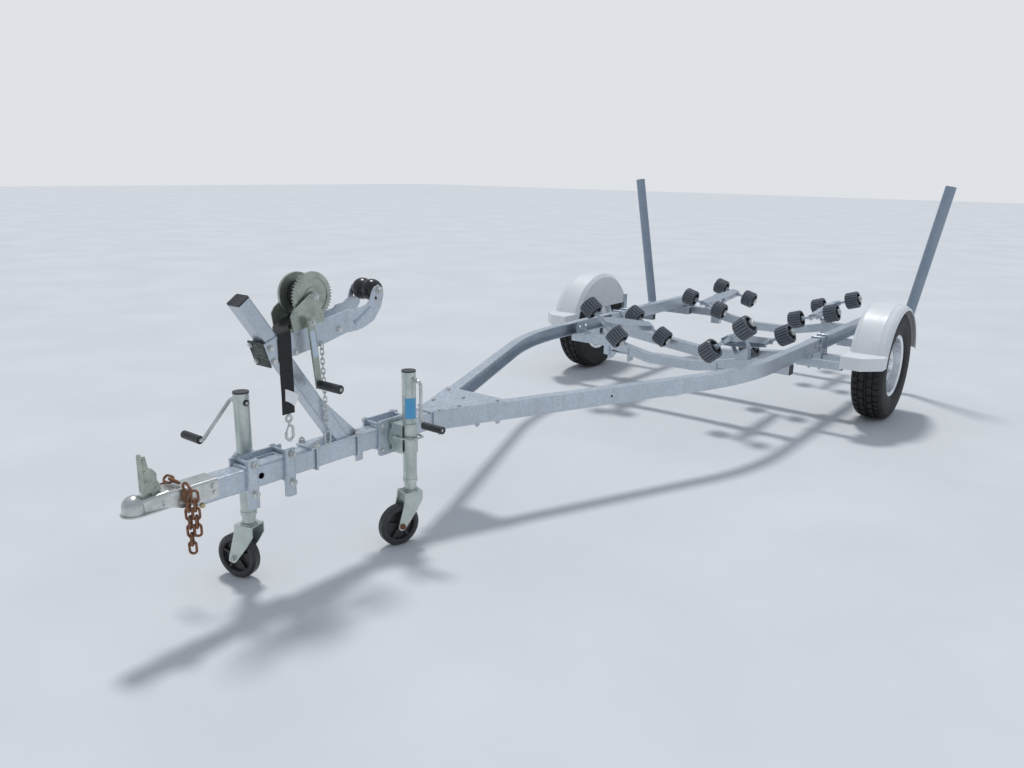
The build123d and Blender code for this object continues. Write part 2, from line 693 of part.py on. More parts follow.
def winch_frame():
    """Two side plates on a base that bridges the arm plates, with the drum's shaft."""
    y0, y1 = 281.0, 402.0
    slope = (838.0 - 817.0) / (406.0 - 284.0)
    z0, z1 = 817.4 + (y0 - 284.0) * slope, 817.4 + (y1 - 284.0) * slope
    base = plate_yz([(y0, z0), (y1, z1), (y1, z1 + 4), (y0, z0 + 4)], -FRAME_X - 4, FRAME_X + 4)
    outline = [(y0, z0), (y1, z1)] + WINCH_SIDE[-2:-1] + WINCH_SIDE[-3:0:-1]
    side = plate_yz(outline, FRAME_X, FRAME_X + 4)
    shaft = rod((-FRAME_X - 12, *DRUM), (FRAME_X + 12, *DRUM), 8)
    frame = base + side + mirrored(side) + shaft
    return frame - rod((-FRAME_X - 9, *PINION), (FRAME_X + 9, *PINION), 6.4)


def winch_drum():
    """Gear with a pressed ring, plain drum and a thick-rimmed far flange."""
    plane = Plane(origin=(GEAR_X, *DRUM), x_dir=(0, 1, 0), z_dir=(1, 0, 0))
    gear = extrude(plane * toothed(GEAR_TEETH, GEAR_R + TOOTH, TOOTH, (0.0, 0.3, 0.5, 0.8)), 6)
    gear -= pipe((GEAR_X + 3, *DRUM), (GEAR_X + 7, *DRUM), GEAR_R - 12, 26)
    gear -= rod((GEAR_X - 1, *DRUM), (GEAR_X + 7, *DRUM), 8)
    drum = pipe((-40, *DRUM), (GEAR_X, *DRUM), 22, 8)
    flange = pipe((-42, *DRUM), (-38, *DRUM), 66, 8)
    flange += pipe((-42, *DRUM), (-32, *DRUM), 68, 62)
    return gear + drum + flange


def winch_crank():
    """Shaft with its pinion, flat lever and the pin of the grip."""
    lever_x = FRAME_X + 22
    shaft = rod((-FRAME_X - 8, *PINION), (lever_x + 6, *PINION), 6)
    pinion = rod((GEAR_X - 2, *PINION), (GEAR_X + 8, *PINION), 5.8)
    bar = plate_yz([
        (PINION[0] - 13, PINION[1] + 14), (PINION[0] + 13, PINION[1] + 14),
        (CRANK_END[0] + 11, CRANK_END[1] - 12), (CRANK_END[0] - 11, CRANK_END[1] - 12),
    ], lever_x, lever_x + 6)
    grip_pin = rod((lever_x + 6, *CRANK_END), (lever_x + 106, *CRANK_END), 6)
    return shaft + pinion + bar + grip_pin


def winch_grip():
    start = FRAME_X + 32
    return pipe((start, *CRANK_END), (start + 92, *CRANK_END), 14, 6.2)


# Winch strap: wound on the drum, folded over the near arm plate and hanging with its hook

STRAP_W = 48.0
STRAP_T = 2.6
STRAP_ROLL_R = 42.0
STRAP_X = ARM_IN + ARM_PLATE_T + 3.5
STRAP_Y = 255.5
STRAP_TOP_Z, STRAP_END_Z = 824.0, 566.0
HOOK_BOTTOM_Z = 474.0


def winch_strap():
    roll = pipe((-30, *DRUM), (-30 + STRAP_W, *DRUM), STRAP_ROLL_R, 22.3)
    tail = box(
        STRAP_X - STRAP_T / 2, STRAP_X + STRAP_T / 2, STRAP_Y - STRAP_W / 2, STRAP_Y + STRAP_W / 2,
        STRAP_END_Z, STRAP_TOP_Z,
    )
    leaving = Plane(origin=(-6, 328.2, 937), x_dir=(1, 0, 0), z_dir=(0, -0.47, -0.88))
    start = Plane(origin=(-6, 306, 890), x_dir=(1, 0, 0), z_dir=(0.12, -0.52, -0.85))
    middle = Plane(origin=(14, 284, 852), x_dir=(0.75, 0.64, 0.0), z_dir=(0.42, -0.49, -0.76))
    end = Plane(origin=(STRAP_X, STRAP_Y, STRAP_TOP_Z), x_dir=(0, 1, 0), z_dir=(0, 0, -1))
    sections = [plane * Rectangle(STRAP_W, STRAP_T) for plane in (leaving, start, middle, end)]
    fold = loft(sections)
    return roll + fold + tail


def strap_hook():
    """A snap hook on an eye at the strap's end."""
    x, y, top = STRAP_X, STRAP_Y, STRAP_END_Z - 0.5
    eye = Plane(origin=(x, y, top - 14), x_dir=(0, 1, 0), z_dir=(1, 0, 0)) * Torus(10, 4)
    shank_top = top - 27
    hook = bent_rod([
        (x, y, shank_top + 3), (x, y, shank_top - 8), (x, y + 13, shank_top - 18),
        (x, y + 13, HOOK_BOTTOM_Z + 18), (x, y, HOOK_BOTTOM_Z + 4.5), (x, y - 13, HOOK_BOTTOM_Z + 18),
        (x, y - 13, HOOK_BOTTOM_Z + 34),
    ], 4.5, 5)
    gate = rod((x, y - 13, HOOK_BOTTOM_Z + 34), (x, y - 2, shank_top - 8), 2.5)
    return eye + hook + gate


# Jacks: an outer tube, a leg that slides in it, a castor fork and a wheel

TUBE_BOTTOM = 228.0
TUBE_TOP = 626.0
LID_TOP = 631.0
FORK_TOP = 200.0
FORK_HALF = 30.0
FORK_T = 4.0


def jack_tube(x, y):
    tube = pipe((x, y, TUBE_BOTTOM), (x, y, TUBE_TOP), JACK_R, JACK_BORE_R)
    tube += pipe((x, y, TUBE_BOTTOM), (x, y, TUBE_BOTTOM + 12), JACK_R + 1.6, JACK_BORE_R)
    return tube + rod((x, y, TUBE_TOP - 20), (x, y, TUBE_TOP), JACK_BORE_R)


def jack_lid(x, y):
    return rod((x, y, TUBE_TOP), (x, y, LID_TOP), JACK_R + 1)


def gear_boss(x, y, side, z):
    """The boss where the crank's shaft enters the tube, on the side given by the sign."""
    return rod((x + side * (JACK_BORE_R + 0.5), y, z), (x + side * (JACK_R + 7), y, z), 12)


def jack_leg(x, y):
    return pipe((x, y, FORK_TOP), (x, y, 560.0), LEG_R, LEG_R - 3)


def turned(shape, x, y, castor):
    """A castor's piece, turned about its leg."""
    return Pos(x, y, 0) * Rot(0, 0, castor) * Pos(-x, -y, 0) * shape


def jack_fork(x, y):
    """A pressed fork that swivels under the leg, with the wheel in front of it."""
    crown_z = FORK_TOP - 5
    wheel_y = y - JACK_TRAIL
    fork = rod((x, y, crown_z), (x, y, FORK_TOP - 0.6), LEG_R + 6)
    fork += box(x - FORK_HALF, x + FORK_HALF, y - 36, y + 32, crown_z - FORK_T, crown_z)
    for side in (-1, 1):
        x0, x1 = sorted((x + side * FORK_HALF, x + side * (FORK_HALF - FORK_T)))
        fork += plate_yz([
            (y + 32, crown_z), (y - 36, crown_z), (y - 40, crown_z - 30), (wheel_y - 14, JACK_WHEEL_R + 8),
            (wheel_y + 12, JACK_WHEEL_R - 10), (y + 6, 120), (y + 32, crown_z - 34),
        ], x0, x1)
        fork += rod((x0, wheel_y, JACK_WHEEL_R), (x1, wheel_y, JACK_WHEEL_R), 16)
    reach = FORK_HALF + 8
    return fork + rod((x - reach, wheel_y, JACK_WHEEL_R), (x + reach, wheel_y, JACK_WHEEL_R), 6)


# A jack wheel's spokes
JACK_SPOKES = 5


def jack_wheel(x, y):
    """A moulded tyre on a thin disc with spokes and a hub."""
    half = 19.0
    y0 = y - JACK_TRAIL
    outline = [
        (-24, 6.4), (-24, 15), (-3, 17), (-3, 50), (-15, 53), (-half, 58), (-half, 66), (-11, JACK_WHEEL_R),
        (11, JACK_WHEEL_R), (half, 66), (half, 58), (15, 53), (3, 50), (3, 17), (24, 15), (24, 6.4),
    ]
    wheel = revolve_x(outline, x, y0, JACK_WHEEL_R)
    for i in range(JACK_SPOKES):
        spoke = box(x - 13, x + 13, y0 - 4, y0 + 4, JACK_WHEEL_R + 12, JACK_WHEEL_R + 54)
        turn = Rot(360.0 * i / JACK_SPOKES, 0, 0)
        wheel += Pos(x, y0, JACK_WHEEL_R) * turn * Pos(-x, -y0, -JACK_WHEEL_R) * spoke
    return wheel


# Front clamp: y of its two straps
CLAMP_STRAPS = (113.0, 249.0)
STRAP_TOP, STRAP_BOTTOM = 455.0, 303.0


def front_clamp():
    """Two channel straps on the near face, a slotted plate over the top, a bracket with a ring."""
    x, y = FRONT_JACK
    half, bottom = TONGUE / 2, FRAME_TOP - TONGUE
    made = box(-half - 8, -half, 88, 274, bottom - 30, FRAME_TOP + 22)
    for strap_y in CLAMP_STRAPS:
        strap = box(half, half + 17, strap_y - 19, strap_y + 19, STRAP_BOTTOM, STRAP_TOP)
        strap = fillet(strap.edges().filter_by(Axis.Z).group_by(Axis.X)[-1], 12)
        strap -= box(half - 1, half + 10, strap_y - 13, strap_y + 13, STRAP_BOTTOM - 1, bottom - 22)
        made += strap
        for z in (FRAME_TOP + 14, bottom - 12):
            made += rod((-half - 18, strap_y, z), (half + 26, strap_y, z), 6)
    top = box(-half - 8, half, 94, 268, FRAME_TOP, FRAME_TOP + 6)
    slot = box(-22, -2, 140, 222, 0, 600)
    for slot_y in (140, 222):
        slot += rod((-12, slot_y, 0), (-12, slot_y, 600), 10)
    made += top - slot
    ring = box(x, -half - 8, y - 30, y + 30, 350, 410) + rod((x, y, 350), (x, y, 410), JACK_R + 6)
    lip = box(x, -half - 8, y - 30, y + 30, 427, 433) + rod((x, y, 427), (x, y, 433), JACK_R + 9)
    made += ring + lip
    return made - rod((x, y, 340), (x, y, 450), JACK_R)


CRANK_Z = 598.0
FRONT_CRANK_END = (108.0, 486.0)
REAR_CRANK_LOW_Z = 446.0


def front_crank():
    x, y = FRONT_JACK
    arm_x = x - JACK_R - 30
    down_y, end_z = y - FRONT_CRANK_END[0], FRONT_CRANK_END[1]
    return bent_rod([
        (x - JACK_R - 7.5, y, CRANK_Z), (arm_x, y, CRANK_Z), (arm_x, down_y, end_z),
        (arm_x - 96, down_y, end_z),
    ], 6, 10)


def front_grip():
    x, y = FRONT_JACK
    start = x - JACK_R - 42
    down_y, end_z = y - FRONT_CRANK_END[0], FRONT_CRANK_END[1]
    return pipe((start, down_y, end_z), (start - 88, down_y, end_z), 13, 6.2)


def rear_bracket():
    """Fixed half of the swivel bracket: plates on both faces of the tongue, bolted through."""
    x, y = REAR_JACK
    half, bottom = TONGUE / 2, FRAME_TOP - TONGUE
    near = box(half, half + 8, y - 92, y + 70, bottom - 32, FRAME_TOP + 28)
    near = fillet(near.edges().filter_by(Axis.X), 10)
    made = near + box(-half - 8, -half, y - 92, y + 70, bottom - 24, FRAME_TOP + 22)
    for bolt_y in (y - 76, y + 54):
        for z in (FRAME_TOP + 12, bottom - 12):
            made += rod((-half - 18, bolt_y, z), (half + 8, bolt_y, z), 6)
    return made + rod((half + 8, y, REAR_JACK_PIVOT_Z), (half + 20, y, REAR_JACK_PIVOT_Z), 15)


def rear_tube():
    """The jack's tube with the swinging half of the bracket: a disc, a channel and a pull pin."""
    x, y = REAR_JACK
    half, z = TONGUE / 2, REAR_JACK_PIVOT_Z
    disc = rod((half + 10, y, z), (half + 16, y, z), 50)
    channel = box(half + 16, x, y - 40, y + 40, z - 52, z + 52)
    channel -= box(half + 21, x + 1, y - 35, y + 35, z - 46, z + 46)
    collar = rod((x, y, z - 52), (x, y, z + 52), JACK_R + 4)
    bracket = disc + channel + collar
    bracket -= rod((x, y, 300), (x, y, 500), JACK_R - 1)
    bracket -= rod((half, y, z), (half + 22, y, z), 15.4)
    bail = bent_rod([
        (half + 30, y - 38, z + 8), (half + 30, y - 54, z + 6), (x + 36, y - 30, z + 3),
        (x + 36, y + 30, z + 1), (half + 30, y + 54, z), (half + 30, y + 38, z),
    ], 4, 8)
    return jack_tube(x, y) + bracket + gear_boss(x, y, 1, CRANK_Z) + bail


def rear_crank():
    x, y = REAR_JACK
    arm_x = x + JACK_R + 32
    return bent_rod([
        (x + JACK_R + 7.5, y, CRANK_Z), (arm_x, y, CRANK_Z), (arm_x, y, REAR_CRANK_LOW_Z),
        (arm_x + 100, y, REAR_CRANK_LOW_Z),
    ], 6, 16)


def rear_grip():
    x, y = REAR_JACK
    start = x + JACK_R + 44
    return pipe((start, y, REAR_CRANK_LOW_Z), (start + 90, y, REAR_CRANK_LOW_Z), 13, 6.2)


# Coupler: one pressed shell, a ball dome in front and a channel over the tongue behind

BALL = (-234.0, 409.0)
SOCKET_R = 26.0
# The socket's wall stands straight up to here, round the widest part of the ball
SOCKET_SHOULDER_Z = 418.5
DOME_R = 31.0
COUPLER_T = 4.0
# The flange round the shell's foot
FLANGE_R = 36.0
FLANGE_Z = 386.0
FLANGE_T = 4.0
FLANGE_REAR_Y = -148.0
# Each row: y of a section through the neck, its half width, its top
NECK = [
    (-234.0, 24.0, 426.0), (-208.0, 28.0, 429.0), (-150.0, 36.0, 436.0), (-105.0, 37.2, 431.2),
    (0.0, 37.2, 431.2),
]
NECK_CORNER = 9.0
NECK_LOW = 330.0
# The shell's side view below its top: straight channel, step up, then level to the dome
NECK_SIDE = [
    (0.0, 460.0), (0.0, 374.0), (-110.0, 374.0), (-142.0, FLANGE_Z), (-234.0, FLANGE_Z), (-234.0, 460.0),
]
LATCH_PIN = (-172.0, 447.0)
SADDLE_TOP = 454.0
LATCH_SIDE = [
    (-208.0, 438.5), (-207.0, 545.0), (-196.0, 543.0), (-190.0, 508.0), (-180.0, 504.0),
    (-168.0, 488.0), (-169.0, 470.0), (-161.0, 456.0), (-158.0, 438.5),
]


def neck(inset):
    """The neck lofted through its sections, all of them smaller by inset."""
    sections = []
    for y, half, top in NECK:
        height = top - inset - NECK_LOW
        plane = Plane(origin=(0, y, NECK_LOW + height / 2), x_dir=(1, 0, 0), z_dir=(0, 1, 0))
        sections.append(plane * RectangleRounded(2 * (half - inset), height, NECK_CORNER - inset))
    return loft(sections, ruled=True)


def coupler():
    """Dome, neck and foot flange, hollowed by the ball socket and the channel behind it."""
    y, z = BALL
    dome = Pos(0, y, z) * Sphere(DOME_R) + rod((0, y, FLANGE_Z), (0, y, z), DOME_R)
    dome -= box(-60, 60, y - 60, y + 60, 300, FLANGE_Z)
    flange = rod((0, y, FLANGE_Z), (0, y, FLANGE_Z + FLANGE_T), FLANGE_R)
    flange += box(-FLANGE_R, FLANGE_R, y, FLANGE_REAR_Y, FLANGE_Z, FLANGE_Z + FLANGE_T)
    body = dome + flange + (neck(0) & plate_yz(NECK_SIDE, -50, 50))
    body -= neck(COUPLER_T) & box(-50, 50, y + DOME_R, 1, NECK_LOW - 1, 460)
    body -= Pos(0, y, z) * Sphere(SOCKET_R)
    body -= rod((0, y, FLANGE_Z - 1), (0, y, SOCKET_SHOULDER_Z), SOCKET_R)
    saddle = box(-8, 8, -184, -160, NECK[1][2] + 1, SADDLE_TOP)
    return body + saddle - rod((-20, *LATCH_PIN), (20, *LATCH_PIN), 4.2)


def coupler_latch():
    """The upright lever: two side plates, a front web and its pin."""
    side = plate_yz(LATCH_SIDE, 10, 13)
    front, top = LATCH_SIDE[0], LATCH_SIDE[1]
    web = plate_yz([front, top, (top[0] + 3, top[1]), (front[0] + 3, front[1])], -13, 13)
    return side + mirrored(side) + web + rod((-15, *LATCH_PIN), (15, *LATCH_PIN), 4)


# Chains: links with eight corners and a square section

def link(length, width, wire):
    """One link in its own plane, long along x, with cut corners and a square section."""
    def ring(grow, corner):
        a, b, c = length / 2 + grow, width / 2 + grow, corner
        return make_face(Polyline(
            (-a + c, b), (a - c, b), (a, b - c), (a, c - b), (a - c, -b), (c - a, -b),
            (-a, c - b), (-a, b - c), close=True,
        ))

    outer = 0.34 * width
    return extrude(ring(0, outer) - ring(-wire, outer - 0.586 * wire), wire / 2, both=True)


def chain(start, end, size, first=45.0):
    """Links in line from start to end, each turned a quarter against the one before it."""
    length, width, wire = size
    pitch = length - 2 * wire - 0.45 * wire
    start, end = Vector(*start), Vector(*end)
    way = (end - start).normalized()
    side = way.cross(Vector(0.02, 1, 0.01)).normalized()
    count = int(((end - start).length - length) / pitch) + 1
    made = []
    for i in range(count):
        place = start + way * (length / 2 + i * pitch)
        across = side.rotate(Axis((0, 0, 0), tuple(way)), first + 90 * (i % 2))
        made.append(Plane(origin=place, x_dir=way, z_dir=across) * link(length, width, wire))
    return made


# Each run: start, end, link (length, width, wire), turn of the first link
SAFETY_LINK = (44.0, 27.0, 7.5)
BOW_LINK = (25.0, 14.0, 3.8)
SAFETY_RUNS = [
    ((-48.0, -116.0, 445.8), (48.0, -108.0, 445.8), 45.0),
    ((50.8, -108.0, 431.0), (50.8, -102.0, 232.0), 45.0),
    ((50.8, -80.0, 420.0), (50.8, -76.0, 250.0), 45.0),
    ((-50.8, -118.0, 431.0), (-50.8, -112.0, 380.0), 45.0),
]
BOW_RUN = ((41.5, 391.0, 752.0), (41.5, 399.0, 480.0), 45.0)


def safety_chain():
    links = []
    for start, end, first in SAFETY_RUNS:
        links += chain(start, end, SAFETY_LINK, first)
    return links


def bow_chain():
    """A light chain from the arm down to a snap link at the post's foot."""
    links = chain(BOW_RUN[0], BOW_RUN[1], BOW_LINK, BOW_RUN[2])
    x, y, top = 42.0, 400.0, 478.0
    snap = bent_rod([
        (x, y, top), (x, y + 11, top - 8), (x, y + 11, top - 38), (x, y, top - 46), (x, y - 11, top - 38),
        (x, y - 11, top - 8), (x, y - 2, top - 1),
    ], 3, 5)
    return links + [snap]


def main():
    os.makedirs("parts", exist_ok=True)
    save("tongue", tongue())
    save("tongue_gusset", gusset())
    rail = front_rail()
    save("rail_front_left", rail)
    save("rail_front_right", mirrored(rail))
    rail = rear_rail()
    save("rail_rear_left", rail)
    save("rail_rear_right", mirrored(rail))
    save("rail_splices", *splices())
    for (name, y), row in zip(CROSSMEMBERS, CRADLES):
        side = cradle_bracket(*row[2:], y) + end_plate(y)
        if name == "crossmember_front":
            side += hanging_ears(y)
        side -= crossmember(y, CROSS / 2 - 0.01)
        kept = [part for part in side.solids() if part.volume > SCRAP]
        whole = crossmember(y)
        for part in kept:
            whole += part
            whole += mirrored(part)
        save(name, whole)
    save("axle_beam", axle_beam())
    left_tyre, left_rim = tyre(), rim()
    save("tyre_left", left_tyre)
    save("tyre_right", mirrored(left_tyre))
    save("rim_left", left_rim)
    save("rim_right", mirrored(left_rim))
    left = fender()
    save("fender_left", left)
    save("fender_right", mirrored(left))
    save("fender_brackets", *fender_brackets())
    post = guide_post()
    save("guide_posts", post, mirrored(post))
    arm = post_arm()
    save("guide_post_arms", arm, mirrored(arm))
    ribbed = roller()
    for name, y, tilt, front, rear in CRADLES:
        arm = cradle(tilt, front, rear, y)
        save(f"{name}_left", arm)
        save(f"{name}_right", mirrored(arm))
        for place, shaft in (("a", front), ("b", rear)):
            pair = roller_pair(ribbed, *shaft)
            save(f"{name}_left_rollers_{place}", *pair)
            save(f"{name}_right_rollers_{place}", *[mirrored(r) for r in pair])
    save("winch_post", winch_post())
    save("winch_post_foot", winch_foot())
    save("tube_caps", *tube_caps())
    save("bow_arm", bow_arm())
    save("bow_arm_clamp", post_clamp())
    save("bow_roller", bow_roller())
    save("winch_frame", winch_frame())
    save("winch_drum", winch_drum())
    save("winch_crank", winch_crank())
    save("winch_strap", winch_strap())
    save("strap_hook", strap_hook())
    save("bow_chain", *bow_chain())
    save("crank_grips", winch_grip(), front_grip())
    save("coupler", coupler())
    save("coupler_latch", coupler_latch())
    save("safety_chain", *safety_chain())
    jacks = (("front_jack", FRONT_JACK, FRONT_CASTOR), ("rear_jack", REAR_JACK, REAR_CASTOR))
    for name, (x, y), castor in jacks:
        save(f"{name}_leg", jack_leg(x, y))
        save(f"{name}_fork", turned(jack_fork(x, y), x, y, castor))
        save(f"{name}_wheel", turned(jack_wheel(x, y), x, y, castor))
    save("front_jack_tube", jack_tube(*FRONT_JACK) + gear_boss(*FRONT_JACK, -1, CRANK_Z))
    save("front_jack_clamp", front_clamp())
    save("front_jack_crank", front_crank())
    save("rear_jack_bracket", rear_bracket())
    save("rear_jack_tube", rear_tube())
    save("rear_jack_crank", rear_crank())
    save("rear_jack_grip", rear_grip(), jack_lid(*REAR_JACK))


main()
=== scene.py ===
# %% [markdown]
# # A boat trailer in galvanised steel
# The trailer's frame, wheels and fittings come as finished solids. This lesson dresses them: it
# gives every surface its finish, and it adds what is too small for the solids, such as the
# tread of the tyres, the nuts and bolts, the webbing and the round links of the chains.

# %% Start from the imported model
import json
import math

import bmesh
import bpy
from mathutils import Matrix, Vector


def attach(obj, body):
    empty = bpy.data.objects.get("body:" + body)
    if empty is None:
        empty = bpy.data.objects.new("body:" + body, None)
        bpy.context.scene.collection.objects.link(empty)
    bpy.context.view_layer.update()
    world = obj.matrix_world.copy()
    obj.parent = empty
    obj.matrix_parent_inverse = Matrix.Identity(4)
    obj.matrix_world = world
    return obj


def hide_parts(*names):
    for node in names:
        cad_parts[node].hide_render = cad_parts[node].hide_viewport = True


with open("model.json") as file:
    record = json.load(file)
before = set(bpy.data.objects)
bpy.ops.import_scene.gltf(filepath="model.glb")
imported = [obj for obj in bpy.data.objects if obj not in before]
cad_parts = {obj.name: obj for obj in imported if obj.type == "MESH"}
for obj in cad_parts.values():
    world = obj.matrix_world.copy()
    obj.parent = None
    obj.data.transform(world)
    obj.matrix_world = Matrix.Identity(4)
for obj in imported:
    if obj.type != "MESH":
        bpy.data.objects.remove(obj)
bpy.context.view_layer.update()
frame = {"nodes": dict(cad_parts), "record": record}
nodes = frame["nodes"]

# %% [markdown]
# Workshop sizes are taken in millimetres: x to the left of the middle, y backwards from the
# tongue's front end, and z up from the ground. One helper turns them into the model's metres,
# so that every number below can be checked with a tape on the real trailer.

# %% Workshop measures
MIDDLE_Y = 2153.5
SIDES = ((1, "left"), (-1, "right"))
ORIGIN = Vector((0, 0, 0))


def at(x, y, z):
    """A place on the trailer, given in workshop millimetres."""
    return Vector((x, y - MIDDLE_Y, z)) / 1000


print("tongue's front end at", at(0, 0, 0))

# %% [markdown]
# The camera stands ahead of the trailer on its left side, a little below eye height, and looks
# slightly down. A lens of 29 mm is wide, so the coupler in front looks large and the far wheel
# small. The camera is turned about the upright first, then down, then by a small lean.

# %% Camera
SENSOR_WIDTH = 36
FOCAL_LENGTH, PICTURE_WIDTH = 834.7, 1024  # both in picture dots
CAMERA_PLACE = at(2080, -1263, 1306)
CAMERA_TURN, LOOKING_DOWN, CAMERA_LEAN = 37.79, 14.506, 0.91  # degrees

scene = bpy.context.scene
camera_data = bpy.data.cameras.new("camera")
camera = bpy.data.objects.new("camera", camera_data)
scene.collection.objects.link(camera)
camera_data.sensor_width = SENSOR_WIDTH
camera_data.lens = FOCAL_LENGTH / PICTURE_WIDTH * SENSOR_WIDTH
turn = Matrix.Rotation(math.radians(CAMERA_TURN), 4, "Z")
tip = Matrix.Rotation(math.radians(90 - LOOKING_DOWN), 4, "X")
lean = Matrix.Rotation(math.radians(CAMERA_LEAN), 4, "Z")
camera.matrix_world = Matrix.Translation(CAMERA_PLACE) @ turn @ tip @ lean
bpy.context.scene.camera = camera
print("lens", round(camera_data.lens, 2), "mm")

# %% [markdown]
# The light is a plain studio light: a large soft sun from high behind the trailer, which makes
# the tops of the tubes brighter than their sides, and a pale sky all round that fills the
# shadows. Behind the trailer the camera sees a plain pale tone; metal mirrors the bluish fill.

# %% Sky and sun
SKY_FILL, FILL_STRENGTH = (0.80, 0.88, 1.0, 1), 0.52
SKY_SEEN, SEEN_STRENGTH = (0.74, 0.76, 0.79, 1), 1.0
SUN_STRENGTH, SUN_SPREAD = 1.55, math.radians(9)
SUN_COMES_FROM = Vector((-0.35, 0.30, 1.0))

scene.view_settings.view_transform = "Standard"
world = bpy.data.worlds.new("studio")
scene.world = world
world.use_nodes = True
sky = world.node_tree
sky.nodes.clear()


def sky_light(colour, strength):
    """An even glow from all round."""
    glow = sky.nodes.new("ShaderNodeBackground")
    glow.inputs["Color"].default_value = colour
    glow.inputs["Strength"].default_value = strength
    return glow.outputs[0]


rays = sky.nodes.new("ShaderNodeLightPath")
seen = sky.nodes.new("ShaderNodeMath")
seen.operation = "MAXIMUM"
sky.links.new(rays.outputs["Is Camera Ray"], seen.inputs[0])
sky.links.new(rays.outputs["Is Transmission Ray"], seen.inputs[1])
choose = sky.nodes.new("ShaderNodeMixShader")
sky.links.new(seen.outputs[0], choose.inputs[0])
sky.links.new(sky_light(SKY_FILL, FILL_STRENGTH), choose.inputs[1])
sky.links.new(sky_light(SKY_SEEN, SEEN_STRENGTH), choose.inputs[2])
sky.links.new(choose.outputs[0], sky.nodes.new("ShaderNodeOutputWorld").inputs[0])

sun = bpy.data.objects.new("sun", bpy.data.lights.new("sun", "SUN"))
scene.collection.objects.link(sun)
sun.data.energy = SUN_STRENGTH
sun.data.angle = SUN_SPREAD
sun.rotation_euler = SUN_COMES_FROM.to_track_quat("Z", "Y").to_euler()
print("sun", sun.data.energy)

# %% [markdown]
# The floor is one sheet, so wide that its far edge lies at the horizon.

# %% Floor
FLOOR_SIZE = 90


def deselect():
    """Nothing stays selected, so an operator acts on the next piece alone."""
    bpy.ops.object.select_all(action="DESELECT")


deselect()
bpy.ops.mesh.primitive_plane_add(size=FLOOR_SIZE, location=ORIGIN)
floor = bpy.context.object
floor.name = "floor"
print("floor", floor.dimensions[0], "m")

# %% [markdown]
# A finish is a stack of layers, as a painter builds it: a base tone, broad clouds where the
# surface has aged unevenly, fine grain, and last the bumps that catch the light. The helper
# holds one material while its layers are put together. All patterns are measured on the object
# itself, in metres, so a pattern stays where it is when a part moves.

# %% A material being built
class Finish:
    """One material and the tools to layer it."""

    def __init__(self, name, metallic=0.0, roughness=0.5):
        self.material = bpy.data.materials.new(name)
        self.material.use_nodes = True
        self.tree = self.material.node_tree
        self.shader = self.tree.nodes["Principled BSDF"]
        self.shader.inputs["Metallic"].default_value = metallic
        self.shader.inputs["Roughness"].default_value = roughness
        self.place = self.add("TexCoord").outputs["Object"]
        self.height = None

    def add(self, kind, **inputs):
        """A node, with a value or another node's output on each named input."""
        made = self.tree.nodes.new("ShaderNode" + kind)
        for name, value in inputs.items():
            self.feed(value, made.inputs[name])
        return made

    def feed(self, value, socket):
        """Link an output to a socket, or write a value into it."""
        if isinstance(value, bpy.types.NodeSocket):
            self.tree.links.new(value, socket)
        else:
            socket.default_value = value

    def stretched(self, x, y, z):
        """The place, drawn out along an axis by a small factor on it."""
        move = self.add("Mapping", Vector=self.place)
        move.inputs["Scale"].default_value = (x, y, z)
        return move.outputs[0]

    def clouds(self, scale, detail=3.0, soft=0.5, place=None):
        """Soft noise, finer with a larger scale."""
        made = self.add(
            "TexNoise", Vector=place or self.place, Scale=scale, Detail=detail, Roughness=soft,
        )
        return made.outputs[0]

    def crystals(self, scale):
        """Cells, each with its own colour and the distance from its middle."""
        return self.add("TexVoronoi", Vector=self.place, Scale=scale)

    def window(self, value, low, high, to_low=0.0, to_high=1.0):
        """Value from low to high becomes a number from to_low to to_high."""
        made = self.add("MapRange")
        for socket, number in zip(made.inputs, (value, low, high, to_low, to_high)):
            self.feed(number, socket)
        return made.outputs[0]

    def blend(self, factor, one, other):
        """From one colour to the other: sockets 6 and 7 of the node, and its output 2."""
        made = self.add("Mix")
        made.data_type = "RGBA"
        self.feed(factor, made.inputs[0])
        self.feed((*one, 1) if isinstance(one, tuple) else one, made.inputs[6])
        self.feed((*other, 1) if isinstance(other, tuple) else other, made.inputs[7])
        return made.outputs[2]

    def glaze(self, tone, mask, strength, colour):
        """A colour laid over a tone where the mask is 1, only as strong as said."""
        return self.blend(self.window(mask, 0, 1, 0.0, strength), tone, colour)

    def bumps(self, value, distance, strength=1.0):
        """Raise the surface by value times distance, over any bumps already there."""
        made = self.add("Bump", Height=value, Distance=distance, Strength=strength)
        if self.height is not None:
            self.feed(self.height, made.inputs["Normal"])
        self.height = made.outputs[0]

    def done(self, colour, roughness=None):
        """Connect colour, roughness and bumps, and hand the material over."""
        self.feed(colour, self.shader.inputs["Base Color"])
        if roughness is not None:
            self.feed(roughness, self.shader.inputs["Roughness"])
        if self.height is not None:
            self.feed(self.height, self.shader.inputs["Normal"])
        print("finish", self.material.name)
        return self.material


# %% [markdown]
# A plain pale floor shows the trailer best. It only gets a faint cloudiness, so that the shadow
# has something to lie on.

# %% Floor finish
ground = Finish("pale_floor", roughness=0.9)
tone = ground.window(ground.clouds(1.3, 4), 0.3, 0.7)
tone = ground.blend(tone, (0.70, 0.71, 0.72), (0.76, 0.77, 0.78))
floor.data.materials.append(ground.done(tone))

# %% [markdown]
# Hot-dip galvanising leaves a skin of zinc crystals, each with its own tone and gloss. On the
# real rails they are a few millimetres wide, and rain has dulled them in broad patches and left
# pale blooms. A pattern of cells makes the crystals; soft noise is the weather.

